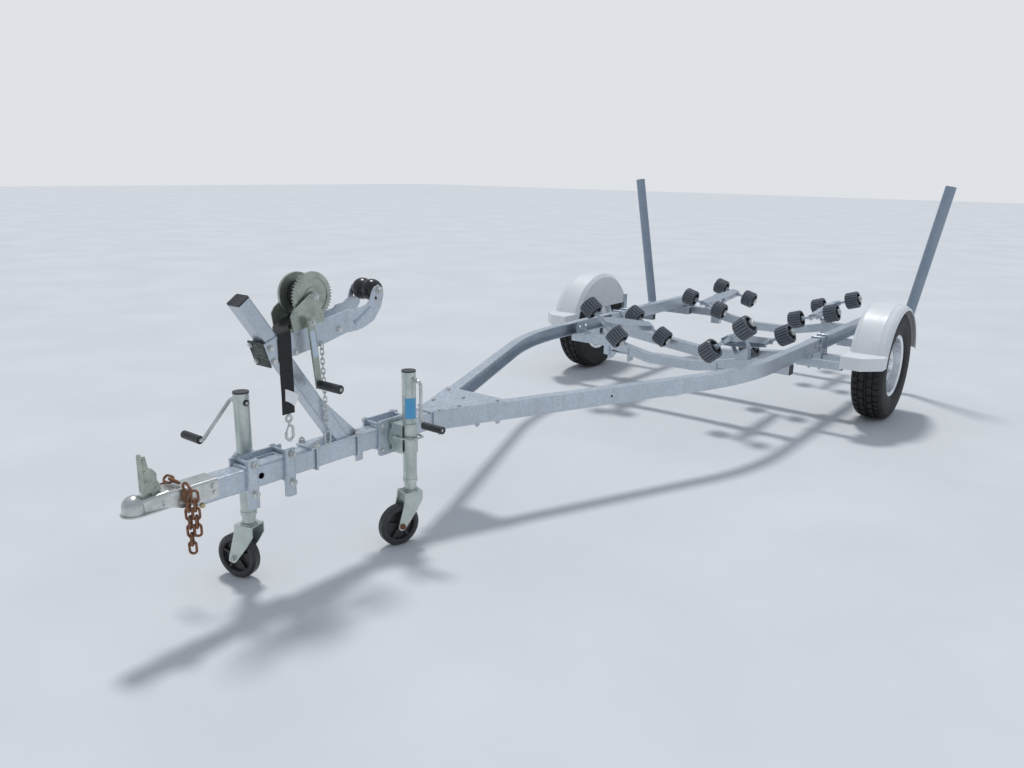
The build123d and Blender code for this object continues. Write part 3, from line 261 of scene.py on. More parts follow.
# %% Galvanised steel
def galvanised_steel(name, pale_tone, dull_tone, roughness, cell):
    """Zinc crystals under dull weather, pale blooms and dark runs."""
    steel = Finish(name, metallic=0.72)
    cells = steel.crystals(cell)
    grain = steel.window(cells.outputs["Color"], 0.1, 0.9)
    weather = steel.window(steel.clouds(5.0, 6, 0.62), 0.38, 0.68)
    bloom = steel.window(steel.clouds(38.0, 5, 0.7), 0.60, 0.70)
    runs = steel.window(steel.clouds(9.0, 4, 0.6, steel.stretched(3.0, 3.0, 0.6)), 0.52, 0.75)
    tone = steel.blend(grain, dull_tone, pale_tone)
    tone = steel.glaze(tone, weather, 0.42, tuple(0.82 * c for c in dull_tone))
    tone = steel.glaze(tone, bloom, 0.40, (0.80, 0.82, 0.83))
    tone = steel.glaze(tone, runs, 0.22, (0.36, 0.37, 0.37))
    steel.bumps(cells.outputs["Distance"], 0.0004, 0.35)
    steel.bumps(steel.clouds(420.0, 2), 0.0003, 0.35)
    gloss = steel.window(grain, 0.0, 1.0, roughness - 0.07, roughness + 0.07)
    return steel.done(tone, gloss)


galvanised = galvanised_steel(
    "galvanised_steel", (0.66, 0.715, 0.775), (0.52, 0.575, 0.635), 0.36, 150.0,
)

# %% [markdown]
# The coupler, the jacks and the small fittings are zinc plated instead: smoother, brighter, and
# with a warm or greenish cast from the dip that follows. Handling leaves scratches and grime.

# %% Plated steel
def plated_steel(name, clean_tone, worn_tone, roughness):
    """Plating that is worn in patches, with brown specks and bright level scratches."""
    plate = Finish(name, metallic=0.80)
    patches = plate.window(plate.clouds(22.0, 6, 0.65), 0.36, 0.66)
    specks = plate.window(plate.clouds(170.0, 4, 0.6), 0.60, 0.70)
    scratch = plate.clouds(30.0, 5, 0.7, plate.stretched(1.0, 1.0, 14.0))
    tone = plate.blend(patches, clean_tone, worn_tone)
    tone = plate.glaze(tone, specks, 0.30, (0.34, 0.30, 0.24))
    tone = plate.glaze(tone, plate.window(scratch, 0.56, 0.66), 0.25, (0.85, 0.85, 0.83))
    plate.bumps(plate.clouds(240.0, 3), 0.0003, 0.30)
    gloss = plate.window(patches, 0.0, 1.0, roughness, roughness + 0.20)
    return plate.done(tone, gloss)


bright_zinc = plated_steel("bright_zinc", (0.74, 0.75, 0.73), (0.52, 0.54, 0.51), 0.22)
olive_zinc = plated_steel("olive_zinc", (0.50, 0.535, 0.46), (0.36, 0.40, 0.35), 0.34)
jack_zinc = plated_steel("jack_zinc", (0.60, 0.655, 0.62), (0.50, 0.56, 0.53), 0.26)
dark_plate = plated_steel("dark_plate", (0.075, 0.085, 0.080), (0.040, 0.048, 0.046), 0.34)
yellow_zinc = plated_steel("yellow_zinc", (0.60, 0.50, 0.26), (0.46, 0.40, 0.24), 0.30)

# %% [markdown]
# Plastics and rubber are told apart by their gloss and by what lies on them. The moulded
# fenders are white with a fine grain and grey road dust. The rollers and tyres are black rubber
# under grey dust. One helper makes them all: a body tone, dust in clouds, a grain. Pointiness
# finds the crests of the rollers' ribs, which get a paler tone: a painted highlight, partly
# rubbed wear. The grooves between them keep the bare black tone.

# %% Plastics and rubber
def moulded(
    name, tone, dusty_tone, roughness, dust=0.5, grain=300.0, relief=0.0002, crest_highlight_and_wear=None,
):
    """A body tone under dust and spots. The crests of a relief get a paler tone: a painted
    highlight, partly rubbed wear.
    """
    stuff = Finish(name)
    dust_cloud = stuff.window(stuff.clouds(14.0, 6, 0.62), 0.36, 0.72, 0.0, dust)
    spots = stuff.window(stuff.clouds(120.0, 4, 0.7), 0.58, 0.68, 0.0, 0.6 * dust)
    mixed = stuff.blend(dust_cloud, tone, dusty_tone)
    mixed = stuff.blend(spots, mixed, tuple(0.5 * (a + b) for a, b in zip(tone, dusty_tone)))
    if crest_highlight_and_wear:
        # Painted highlight on the crests of the ribs, partly rubbed wear; the grooves keep the
        # bare tone.
        lit_crests = stuff.window(stuff.add("NewGeometry").outputs["Pointiness"], 0.47, 0.54)
        mixed = stuff.blend(lit_crests, tone, stuff.blend(0.8, mixed, crest_highlight_and_wear))
    stuff.bumps(stuff.clouds(grain, 2), relief, 0.6)
    gloss = stuff.window(dust_cloud, 0.0, 0.5, roughness, roughness + 0.22)
    return stuff.done(mixed, gloss)


white_plastic = moulded("white_plastic", (0.86, 0.87, 0.88), (0.66, 0.65, 0.62), 0.34, 0.30, 500.0)
grey_pipe = moulded(
    "grey_pipe", (0.26, 0.33, 0.41), (0.38, 0.43, 0.48), 0.42, 0.6, 200.0, 0.0001,
)
black_plastic = moulded("black_plastic", (0.022, 0.022, 0.024), (0.12, 0.12, 0.12), 0.36)
gloss_black = moulded("gloss_black", (0.018, 0.018, 0.020), (0.07, 0.07, 0.07), 0.16, 0.3)
# The crests of the roller's ribs get a paler bluish grey: a painted highlight, partly rubbed wear.
roller_rubber = moulded(
    "roller_rubber", (0.004, 0.005, 0.007), (0.13, 0.14, 0.16), 0.32, 0.40,
    crest_highlight_and_wear=(0.165, 0.180, 0.205),
)
jack_rubber = moulded("jack_rubber", (0.022, 0.023, 0.025), (0.14, 0.14, 0.14), 0.34, 0.40)
# The tyres are black rubber, and their tone is made darker still as painted shade.
tyre_rubber = moulded("tyre_rubber", (0.010, 0.010, 0.011), (0.055, 0.053, 0.050), 0.60, 0.38)
blank_label = moulded("blank_label", (0.96, 0.97, 0.97), (0.86, 0.86, 0.85), 0.40, 0.20)
pale_label = moulded("pale_label", (0.55, 0.66, 0.78), (0.70, 0.76, 0.80), 0.40, 0.6)
blue_label = moulded("blue_label", (0.09, 0.42, 0.74), (0.36, 0.56, 0.70), 0.40, 0.35)

# %% [markdown]
# Wheel paint is silver with fine flakes and brake dust. Rust is many tones of brown in flakes
# that stand off the iron, so it gets the strongest bumps of all.

# %% Wheel paint and rust
paint = Finish("silver_paint", metallic=0.70)
flakes = paint.window(paint.crystals(900.0).outputs["Color"], 0.1, 0.9)
dirt = paint.window(paint.clouds(16.0, 6, 0.6), 0.46, 0.72, 0.0, 0.30)
silver = paint.blend(flakes, (0.88, 0.905, 0.93), (0.90, 0.925, 0.95))
tone = paint.blend(dirt, silver, (0.48, 0.47, 0.45))
silver_paint = paint.done(tone, paint.window(dirt, 0.0, 0.55, 0.24, 0.50))

rust = Finish("rust", metallic=0.1, roughness=0.85)
flake = rust.window(rust.clouds(160.0, 6, 0.7), 0.35, 0.68)
deep = rust.window(rust.clouds(45.0, 4, 0.6), 0.40, 0.65)
tone = rust.blend(flake, (0.15, 0.060, 0.032), (0.48, 0.235, 0.12))
tone = rust.glaze(tone, deep, 0.55, (0.24, 0.15, 0.11))
rust.bumps(flake, 0.0012, 0.9)
rusty_iron = rust.done(tone)

# %% [markdown]
# The record of the part says which finish each solid has. The finishes go into the solids'
# own material slots. A few pieces get a finer choice: the bow roller is glossy, the clamp plate
# in front of the post is dark, and the jacks have a plating and a rubber of their own.

# %% Give the solids their finishes
finishes = {
    "galvanised": galvanised, "bright_zinc": bright_zinc, "olive_zinc": olive_zinc,
    "grey_pipe": grey_pipe, "white_plastic": white_plastic, "black_plastic": black_plastic,
    "black_rubber": roller_rubber, "tyre_rubber": tyre_rubber, "silver_rim": silver_paint,
    "rusty_iron": rusty_iron, "webbing": black_plastic,
}
for part in frame["record"]["subparts"]:
    solid = nodes[part["node"]]
    solid.data.materials.clear()
    solid.data.materials.append(finishes[part["material_slot"]])
nodes["bow_roller"].data.materials[0] = gloss_black
nodes["bow_arm_clamp"].data.materials[0] = dark_plate
for jack in ("front_jack", "rear_jack"):
    for piece in ("tube", "leg", "fork"):
        nodes[f"{jack}_{piece}"].data.materials[0] = jack_zinc
    nodes[f"{jack}_wheel"].data.materials[0] = jack_rubber

# %% [markdown]
# Small pieces are modelled as at a bench: one piece is picked up, shaped, and dressed when it is
# ready. Operators act on what is selected, so each piece is selected alone first. Edges sharper
# than 35 degrees stay sharp in the shading, and the rest looks round. Every piece is told which
# body it rides on.

# %% Bench tools
SHARP_FROM = math.radians(35)


def take(piece):
    """Make this the one piece that the next operator works on."""
    deselect()
    piece.select_set(True)
    bpy.context.view_layer.objects.active = piece
    return piece


def settle(piece):
    """Write a piece's place into its mesh."""
    take(piece)
    bpy.ops.object.transform_apply(location=True, rotation=True, scale=True)
    return piece


def dress(piece, finish, body):
    """Finish, shading and the body that the piece rides on."""
    piece.data.materials.clear()
    piece.data.materials.append(finish)
    take(piece)
    bpy.ops.object.shade_smooth_by_angle(angle=SHARP_FROM)
    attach(piece, body)
    print("piece", piece.name, "faces", len(piece.data.polygons))
    return piece


# %% [markdown]
# ## Strap
# The winch strap is black webbing 46 mm wide, woven so that fine ribs run slantwise over it. The
# ribs are a wave pattern, and a finer noise stands for the fuzz of worn threads.

# %% Webbing
web = Finish("webbing", roughness=0.72)
ribs = web.add("TexWave", Vector=web.place, Scale=150.0, Distortion=1.2)
ribs.bands_direction = "DIAGONAL"
fuzz = web.clouds(260.0, 4, 0.7)
tone = web.blend(ribs.outputs["Fac"], (0.012, 0.012, 0.014), (0.030, 0.030, 0.034))
tone = web.blend(web.window(fuzz, 0.5, 0.75, 0.0, 0.35), tone, (0.10, 0.10, 0.105))
web.bumps(ribs.outputs["Fac"], 0.0006, 0.8)
webbing = web.done(tone)

# %% [markdown]
# The strap leaves the underside of its roll, turns a quarter in front of the winch, folds over
# the arm's near plate and hangs. A band that bends and twists is easiest to guide by two smooth
# curves, one through its middle and one along its edge. So each station gives the middle of the
# band and the way that its width points: across the trailer at the roll, along it below.

# %% The strap's stations
strap_stations = [
    (at(-6, 374, 876), (1, 0, 0)), (at(-6, 352, 868), (1, 0, 0)), (at(-7, 329, 857), (1, 0, 0)),
    (at(-9, 306, 846), (1, 0.08, 0)), (at(-8, 286, 837), (0.93, 0.35, 0.03)),
    (at(0, 269, 832), (0.72, 0.69, 0.08)), (at(14, 260, 828), (0.35, 0.93, 0.14)),
    (at(28, 256, 824), (0.08, 1, 0.17)), (at(37.5, 255.5, 817), (0, 1, 0.12)),
    (at(39.2, 255.5, 798), (0, 1, 0.03)), (at(38.4, 255.5, 770), (0, 1, 0)),
    (at(38.5, 255.5, 735), (0.02, 1, 0)), (at(39.2, 255, 700), (0.05, 1, 0)),
    (at(39.6, 255.5, 665), (0.06, 1, 0)), (at(39.2, 256, 635), (0.02, 1, 0)),
    (at(38.7, 255.5, 600), (-0.02, 1, 0)), (at(38.5, 255.5, 566), (0, 1, 0)),
]


def discard(piece):
    """Take away a piece that was only a help."""
    bpy.data.objects.remove(piece)


def smooth_line(controls):
    """A smooth curve drawn towards these places, read back as places along it."""
    line = bpy.data.curves.new("guide", "CURVE")
    line.dimensions = "3D"
    spline = line.splines.new("NURBS")
    spline.points.add(len(controls) - 1)
    for point, place in zip(spline.points, controls):
        point.co = (*place, 1)
    spline.order_u = 3
    spline.use_endpoint_u = True
    spline.resolution_u = 5
    guide = bpy.data.objects.new("guide", line)
    scene.collection.objects.link(guide)
    read = bpy.data.meshes.new_from_object(guide)
    places = [point.co.copy() for point in read.vertices]
    discard(guide)
    return places


strap_path = smooth_line([middle for middle, _ in strap_stations])

# %% [markdown]
# The band starts as one short edge. It is extruded from station to station, and its ends are put
# on the guides at each step. Then the sheet is made thick and its edges are rounded.

# %% A band along its guides
STRAP_WIDTH, STRAP_THICKNESS = 46, 2.4


def pick(piece, kind, test):
    """In edit mode, select the faces, edges or points that pass a test."""
    take(piece)
    bpy.ops.object.mode_set(mode="EDIT")
    bpy.ops.mesh.select_mode(type=kind)
    bpy.ops.mesh.select_all(action="DESELECT")
    shape = bmesh.from_edit_mesh(piece.data)
    group = {"VERT": shape.verts, "EDGE": shape.edges, "FACE": shape.faces}[kind]
    for item in group:
        item.select = test(item)
    bmesh.update_edit_mesh(piece.data)


def close_edit(piece):
    """Leave edit mode."""
    bpy.ops.object.mode_set(mode="OBJECT")
    return piece


def soften(piece, width, segments=2):
    """Round the sharp edges by a width in millimetres."""
    take(piece)
    rounding = piece.modifiers.new("rounding", "BEVEL")
    rounding.width = width / 1000
    rounding.segments = segments
    bpy.ops.object.modifier_apply(modifier="rounding")
    return piece


def thicken(piece, thickness, offset):
    """Thicken a sheet by millimetres: both ways with offset 0, outwards with 1."""
    take(piece)
    skin = piece.modifiers.new("thickness", "SOLIDIFY")
    skin.thickness = thickness / 1000
    skin.offset = offset
    bpy.ops.object.modifier_apply(modifier="thickness")
    return piece


def place_before(point):
    """Where the end of a band was before it was extruded to this point."""
    neighbours = [edge.other_vert(point) for edge in point.link_edges]
    return next(other.co for other in neighbours if not other.select)


def ribbon(name, width, thickness, stations):
    """A flat band along smooth guides. A station is a middle and the direction of its width."""
    middles = smooth_line([middle for middle, _ in stations])
    edges = smooth_line([middle + Vector(across).normalized() for middle, across in stations])
    deselect()
    bpy.ops.mesh.primitive_plane_add(size=0.01)
    band = bpy.context.object
    band.name = name
    pick(band, "VERT", lambda point: point.co.y > 0)
    bpy.ops.mesh.delete(type="VERT")
    bpy.ops.mesh.select_all(action="SELECT")
    for i, (middle, edge) in enumerate(zip(middles, edges)):
        if i:
            bpy.ops.mesh.extrude_region_move()
        half = (edge - middle).normalized() * (width / 2000)
        shape = bmesh.from_edit_mesh(band.data)
        ends = [point for point in shape.verts if point.select]
        if i:
            ends.sort(key=lambda point: (place_before(point) - last_middle).dot(last_half))
        for point, side in zip(ends, (-1, 1)):
            point.co = middle + half * side
        bmesh.update_edit_mesh(band.data)
        last_middle, last_half = middle, half
    thicken(close_edit(band), thickness, 0)
    return soften(band, 0.3 * thickness)


strap_tail = ribbon("strap_tail", STRAP_WIDTH, STRAP_THICKNESS, strap_stations)
dress(strap_tail, webbing, "frame")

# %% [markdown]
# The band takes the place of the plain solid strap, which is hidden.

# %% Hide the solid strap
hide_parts("winch_strap")
print("cord along", len(strap_path), "places")

# %% [markdown]
# The rest of the strap is wound on the drum. From the side a roll shows its layers as rings, so
# the wall that is turned for it steps in and out by 0.7 mm from layer to layer.

# %% The strap's roll
DRUM_Y, DRUM_Z = 365, 918
LAYERS, CORE_RADIUS = 8, 22.6
ROLL_MIDDLE_X, ROLL_EDGE_X, LAYER_STEP = -6, 17.2, 0.7
EDGE_DEPTH, EDGE_RISE = 0.9, 0.4  # the rounding of one layer's edge
SAME_PLACE = 0.00002


def turned_wall(name, rings, sides):
    """Grow a closed wall of revolution about the x axis from a table of rings: x and radius."""
    first_x, first_r = rings[0]
    deselect()
    bpy.ops.mesh.primitive_circle_add(
        vertices=sides, radius=first_r / 1000, fill_type="NOTHING",
        location=(first_x / 1000, 0, 0), rotation=(0, math.pi / 2, 0),
    )
    piece = settle(bpy.context.object)
    piece.name = name
    bpy.ops.object.mode_set(mode="EDIT")
    bpy.ops.mesh.select_mode(type="VERT")
    bpy.ops.mesh.select_all(action="SELECT")
    for (x, r), (next_x, next_r) in zip(rings, rings[1:]):
        step, grow = (next_x - x) / 1000, next_r / r
        bpy.ops.mesh.extrude_region_move(TRANSFORM_OT_translate={"value": (step, 0, 0)})
        bpy.ops.transform.resize(value=(1, grow, grow), center_override=(next_x / 1000, 0, 0))
    bpy.ops.mesh.select_all(action="SELECT")
    bpy.ops.mesh.remove_doubles(threshold=SAME_PLACE)
    bpy.ops.mesh.normals_make_consistent(inside=False)
    return close_edit(piece)


roll_side = []
for i in range(LAYERS):
    low, edge = CORE_RADIUS + STRAP_THICKNESS * i, ROLL_EDGE_X + LAYER_STEP * (i % 2)
    roll_side += [
        (edge - EDGE_DEPTH, low), (edge, low + EDGE_RISE),
        (edge, low + STRAP_THICKNESS - EDGE_RISE),
    ]
outermost = CORE_RADIUS + STRAP_THICKNESS * LAYERS
roll_side.append((roll_side[-1][0] - EDGE_DEPTH, outermost))
far_side = [(2 * ROLL_MIDDLE_X - x, r) for x, r in reversed(roll_side)]
strap_roll = turned_wall("strap_roll", roll_side + far_side + [roll_side[0]], 72)
strap_roll.data.transform(Matrix.Translation(at(0, DRUM_Y, DRUM_Z)))
dress(strap_roll, webbing, "frame")
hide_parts("winch_strap")

# %% [markdown]
# ## Nuts and bolts
# The trailer is bolted together: hexagon heads with washers, and nuts with the thread's end
# standing out. Each size is modelled once. The chamfer on the hexagon's corners is
# what makes it read as a nut at a distance.

# %% One bolt head and one nut
def bar(name, radius, start, end, sides=24):
    """A round bar between two places, radius in millimetres."""
    way = end - start
    deselect()
    bpy.ops.mesh.primitive_cylinder_add(
        vertices=sides, radius=radius / 1000, depth=way.length, location=(start + end) / 2,
        rotation=way.to_track_quat("Z", "Y").to_euler(),
    )
    bpy.context.object.name = name
    return settle(bpy.context.object)


def join(name, pieces):
    """Many pieces become one."""
    take(pieces[0])
    for piece in pieces:
        piece.select_set(True)
    if len(pieces) > 1:
        bpy.ops.object.join()
    joined = bpy.context.object
    joined.name = name
    return joined


def hexagon(name, size, height):
    """A chamfered hexagon on a washer, standing on the origin."""
    low = Vector((0, 0, size * 0.0002))
    washer = soften(bar(name + "_washer", size * 1.05, ORIGIN, low, 28), size * 0.03, 1)
    head = bar(name + "_head", size * 0.92, low, low + Vector((0, 0, height / 1000)), 6)
    pick(head, "FACE", lambda face: face.normal.z > 0.9)
    bpy.ops.mesh.bevel(offset=size * 0.00012, segments=2, affect="EDGES")
    close_edit(head)
    return join(name, [washer, head])


def bolt_head(size):
    """A bolt's head, named for its thread: 8 is a bolt of 8 mm."""
    return hexagon("bolt", size, size * 0.62)


def nut(size):
    """A nut with the end of its thread standing out."""
    thread_end = bar("thread", size * 0.5, ORIGIN, Vector((0, 0, size * 0.00145)), 20)
    soften(thread_end, size * 0.07, 1)
    return join("nut", [hexagon("hexagon", size, size * 0.8), thread_end])


bolt_models = {size: bolt_head(size) for size in (6, 8, 10, 12)}
nut_models = {size: nut(size) for size in (10, 12)}
print("fastener models", len(bolt_models) + len(nut_models))

# %% [markdown]
# Fasteners sit where two pieces meet: on the gusset over the rails, on the end plates of
# the crossmembers, on the splices, and on the clamps of the jacks. The rear jack's tube swings
# past the tongue, so the fasteners on that side are flat heads.

# %% Fasteners of the frame
LEFT, RIGHT, UP, DOWN = (1, 0, 0), (-1, 0, 0), (0, 0, 1), (0, 0, -1)
GUSSET_TOP, GUSSET_BOTTOM = 432, 357


def placed(model, matrix):
    """A copy of a model with its own mesh, moved by a matrix."""
    copy = model.copy()
    copy.data = model.data.copy()
    scene.collection.objects.link(copy)
    copy.data.transform(matrix)
    return copy


def copies(name, model, places):
    """Copies of a model that stands on the origin along z, each at a place and along a way."""
    made = []
    for place, way in places:
        turn = Vector(way).to_track_quat("Z", "Y").to_matrix().to_4x4()
        made.append(placed(model, Matrix.Translation(place) @ turn))
    return join(name, made)


def both_sides(places):
    """The same places on the other side too."""
    mirror = [(Vector((-p.x, p.y, p.z)), (-w[0], w[1], w[2])) for p, w in places]
    return places + mirror


def fasten(name, model, places, finish=bright_zinc):
    """Fasteners on the frame, all of one kind."""
    return dress(copies(name, model, places), finish, "frame")


rail_heads = both_sides([
    (at(660, 3090, 389), LEFT), (at(660, 3252, 392), LEFT), (at(660, 3304, 392), LEFT),
    (at(610, 3252, 392), RIGHT), (at(610, 3304, 392), RIGHT), (at(610, 3356, 392), RIGHT),
    (at(610, 3408, 392), RIGHT), (at(609, 2850, 394), RIGHT), (at(609, 2912, 394), RIGHT),
    (at(609, 4257, 394), RIGHT), (at(609, 4319, 394), RIGHT),
])
rail_nuts = both_sides([
    (at(x, y, GUSSET_BOTTOM), DOWN) for x, y in ((52, 918), (92, 1085), (128, 1165))
])
bracket_rows = [(639, 439), (769, 439), (639, 349), (769, 349)]
rail_nuts += [(at(-41, y, z), RIGHT) for y, z in bracket_rows]
low_heads = [(at(41, y, z), LEFT) for y, z in bracket_rows]
clamp_rows = [(113, 441), (249, 441), (113, 349), (249, 349)]
clamp_nuts = [(at(50, y, z), LEFT) for y, z in clamp_rows]
clamp_nuts += [(at(-41, y, z), RIGHT) for y, z in clamp_rows]
clamp_nuts += both_sides([(at(38, y, 433), UP) for y in (358, 531)])
gusset_bolts = both_sides([
    (at(x, y, GUSSET_TOP), UP) for x, y in ((52, 918), (66, 1010), (128, 1165))
])
gusset_bolts.append((at(0, 1110, GUSSET_TOP), UP))
fasten("frame_bolts", bolt_models[12], rail_heads, galvanised)
fasten("frame_nuts", nut_models[12], rail_nuts, galvanised)
fasten("bracket_bolts", bolt_models[8], low_heads)
fasten("clamp_nuts", nut_models[12], clamp_nuts)
fasten("gusset_bolts", bolt_models[8], gusset_bolts)

# %% [markdown]
# The axle hangs from the rails in U-bolts. Each is a round bar over the rail's top, bent down
# on both sides to a plate under the beam. The bar follows straight runs from corner to corner,
# and every corner is replaced by a small curve.

# %% U-bolts of the axle
BEND_STEPS = (0.0, 0.25, 0.5, 0.75, 1.0)


def block(name, low, high):
    """A block between two corners."""
    deselect()
    bpy.ops.mesh.primitive_cube_add(size=1, location=(low + high) / 2, scale=high - low)
    bpy.context.object.name = name
    return settle(bpy.context.object)


def bar_along(name, radius, places, roundness, swell=(1.0,)):
    """A round bar through places. Its thickness follows the numbers of swell in turn."""
    line = bpy.data.curves.new(name, "CURVE")
    line.dimensions = "3D"
    line.bevel_depth = radius / 1000
    line.bevel_resolution = roundness
    line.use_fill_caps = True
    spline = line.splines.new("POLY")
    spline.points.add(len(places) - 1)
    for i, (point, place) in enumerate(zip(spline.points, places)):
        point.co = (*place, 1)
        point.radius = swell[i % len(swell)]
    made = bpy.data.objects.new(name, line)
    scene.collection.objects.link(made)
    take(made)
    bpy.ops.object.convert(target="MESH")
    return bpy.context.object


def bent_bar(name, radius, corners, rounding):
    """A round bar along straight runs with small round bends."""
    places = [corners[0]]
    for before, corner, after in zip(corners, corners[1:], corners[2:]):
        back, ahead = before - corner, after - corner
        reach = min(rounding / 1000, back.length / 2.1, ahead.length / 2.1)
        enter = corner + back.normalized() * reach
        leave = corner + ahead.normalized() * reach
        for share in BEND_STEPS:
            places.append(enter.lerp(corner, share).lerp(corner.lerp(leave, share), share))
    places.append(corners[-1])
    return bar_along(name, radius, places, 4)


U_BOLT_Y, U_BOLT_OUTER, U_BOLT_INNER = (3326, 3418), 666, 609
U_BOLT_TOP, U_BOLT_FOOT = 433, 268
u_bolts = []
for side in (-1, 1):
    for y in U_BOLT_Y:
        u_bolts.append(bent_bar("u_bolt", 5, [
            at(side * U_BOLT_OUTER, y, U_BOLT_FOOT), at(side * U_BOLT_OUTER, y, U_BOLT_TOP),
            at(side * U_BOLT_INNER, y, U_BOLT_TOP), at(side * U_BOLT_INNER, y, U_BOLT_FOOT),
        ], 9))
    plate_x = side * 638
    plate = block("u_plate", at(plate_x - 40, 3312, 270), at(plate_x + 40, 3432, 275))
    u_bolts.append(soften(plate, 1.5))
dress(join("axle_u_bolts", u_bolts), galvanised, "frame")
under_nuts = both_sides([
    (at(x, y, 270), DOWN) for x in (U_BOLT_OUTER, U_BOLT_INNER) for y in U_BOLT_Y
])
fasten("axle_nuts", nut_models[10], under_nuts, galvanised)

# %% [markdown]
# The winch post is welded to its foot plate, and each guide post's socket to its arm. A weld bead
# is a row of small overlapping ripples, so it is a round bar whose thickness swells and shrinks
# from step to step. It was galvanised with the rest and has the same finish.

# %% Weld beads
RIPPLE_STEP, RIPPLES = 0.003, (0.75, 1.05, 1.15, 0.95)
FOOT_TOP = 433.5
FOOT_CORNERS = [(30, 442), (30, 499), (-30, 499), (-30, 442), (27, 442)]
SOCKET_X, SOCKET_Y, SOCKET_BOTTOM, SOCKET_RADIUS = 869.5, 4225, 352, 30.5


def weld(radius, corners):
    """A rippled bead along straight runs."""
    steps = []
    for start, end in zip(corners, corners[1:]):
        count = max(1, round((end - start).length / RIPPLE_STEP))
        steps += [start.lerp(end, i / count) for i in range(count)]
    return bar_along("bead", radius, steps + [corners[-1]], 3, RIPPLES)


beads = [weld(3.5, [at(x, y, FOOT_TOP) for x, y in FOOT_CORNERS])]
for side in (-1, 1):
    ring = []
    for i in range(33):
        angle = math.tau * i / 32.5  # the ring's ends just meet
        x = SOCKET_X + SOCKET_RADIUS * math.cos(angle)
        ring.append(at(side * x, SOCKET_Y + SOCKET_RADIUS * math.sin(angle), SOCKET_BOTTOM))
    beads.append(weld(3, ring))
dress(join("weld_beads", beads), galvanised, "frame")

# %% [markdown]
# Each front rail has one spare hole, closed with a black plug whose edge stands off the rail.

# %% Plugs in the rails
HOLE_X, HOLE_Y, HOLE_Z = 352.8, 1644.4, 392
plugs = []
for side in (-1, 1):
    outwards = Vector((side * 0.919, -0.395, 0))  # square to the slanting rail
    hole = at(side * HOLE_X, HOLE_Y, HOLE_Z)
    plugs.append(bar("rail_plug", 5.5, hole - outwards * 0.002, hole + outwards * 0.0008))
dress(soften(join("rail_plugs", plugs), 0.5), black_plastic, "frame")

# %% [markdown]
# The coupler's shell is bolted through the tongue behind and riveted in front, and the bow arm is
# bolted to the post: two bolts through the post, one behind it, one further along the arm, and
# two at the far edge of the dark clamp plate in front. A rivet is a low round dome, a short bar
# with a deeply rounded edge.

# %% Fasteners of the coupler, bow arm and winch
PINION_Y, PINION_Z = 329, 845
CLAMP_FACE_WAY = (0, -0.944, -0.329)


def outside_of(x, *rows):
    """Places on both sides, facing outwards: one x, then each row's y and z."""
    return both_sides([(at(x, y, z), LEFT) for y, z in rows])


rivet = soften(bar("rivet", 4.2, ORIGIN, Vector((0, 0, 0.0026))), 2, 4)
fasten("coupler_rivets", rivet, outside_of(34, (-166, 409), (-166, 399)))
latch_places = outside_of(13, (-203, 532), (-200, 500), (-199, 470))
fasten("latch_rivets", rivet, latch_places, olive_zinc)
fasten("coupler_bolts", bolt_models[10], outside_of(37.2, (-14, 412)))
fasten("coupler_small_bolts", bolt_models[6], outside_of(37.2, (-14, 392)))
fasten("tongue_bolts", bolt_models[8], outside_of(33, (-53, 363)), yellow_zinc)
arm_places = outside_of(35, (206, 778), (217, 738), (297, 752), (470, 800))
fasten("arm_bolts", bolt_models[10], arm_places)
clamp_face = [(at(-25, y, z), CLAMP_FACE_WAY) for y, z in ((179.5, 785), (197.5, 733))]
fasten("clamp_bolts", bolt_models[8], clamp_face)
fasten("bow_roller_nuts", nut_models[12], outside_of(55, (625, 909)))
fasten("winch_nuts", nut_models[12], [
    (at(49, DRUM_Y, DRUM_Z), LEFT), (at(-49, DRUM_Y, DRUM_Z), RIGHT),
    (at(73, PINION_Y, PINION_Z), LEFT), (at(-49, PINION_Y, PINION_Z), RIGHT),
])

# %% [markdown]
# ## Tyres
# A tyre is a wall of revolution, so it is grown ring by ring from a bare circle: each ring is
# extruded along the axle and resized. The grooves round the tread are rings that step inwards.
# The grooves across it are faces picked by their place and pushed in. The solid tyre of the
# model has the same outline, so this one takes its place.

# %% A tyre, ring by ring
WHEEL_Y, WHEEL_X, WHEEL_R = 3508, 943, 297
TYRE_SIDES = 144
TREAD_FROM, GROOVE_DEPTH = 0.2895, 0.005
SHOULDER_FROM, RIB_FROM, RIB_TO = 41, 10, 33  # millimetres from the tyre's middle
# Each row: x and radius, from the bead over the side wall to the middle of the tread
tyre_half = [
    (57, 154), (61, 168), (66, 168.5), (70, 172), (75, 180), (78, 196), (79.5, 199),
    (79.5, 205), (81, 216), (82.5, 232), (81.5, 251), (79.5, 262), (80.2, 264), (80.2, 268),
    (77, 275), (72, 283), (64, 290), (57, 293), (41, 295.3), (40, 289), (34, 289), (33, 296),
    (10, 297), (9, 290), (3, 290), (2, 297),
]
tyre_rings = tyre_half + [(-x, r) for x, r in reversed(tyre_half)] + [tyre_half[0]]


def tread_groove(face):
    """Faces across the shoulder and the middle ribs that become grooves."""
    place = face.calc_center_median()
    reach = math.hypot(place.y, place.z)
    outwards = Vector((0, place.y, place.z)).normalized()
    if reach < TREAD_FROM or face.normal.dot(outwards) < 0.3:
        return False
    step = round((math.atan2(place.z, place.y) / math.tau * TYRE_SIDES) - 0.5)
    across = abs(place.x) * 1000
    if across > SHOULDER_FROM:
        return step % 3 == (0 if place.x > 0 else 1)
    return RIB_FROM < across < RIB_TO and step % 4 == (1 if place.x > 0 else 3)


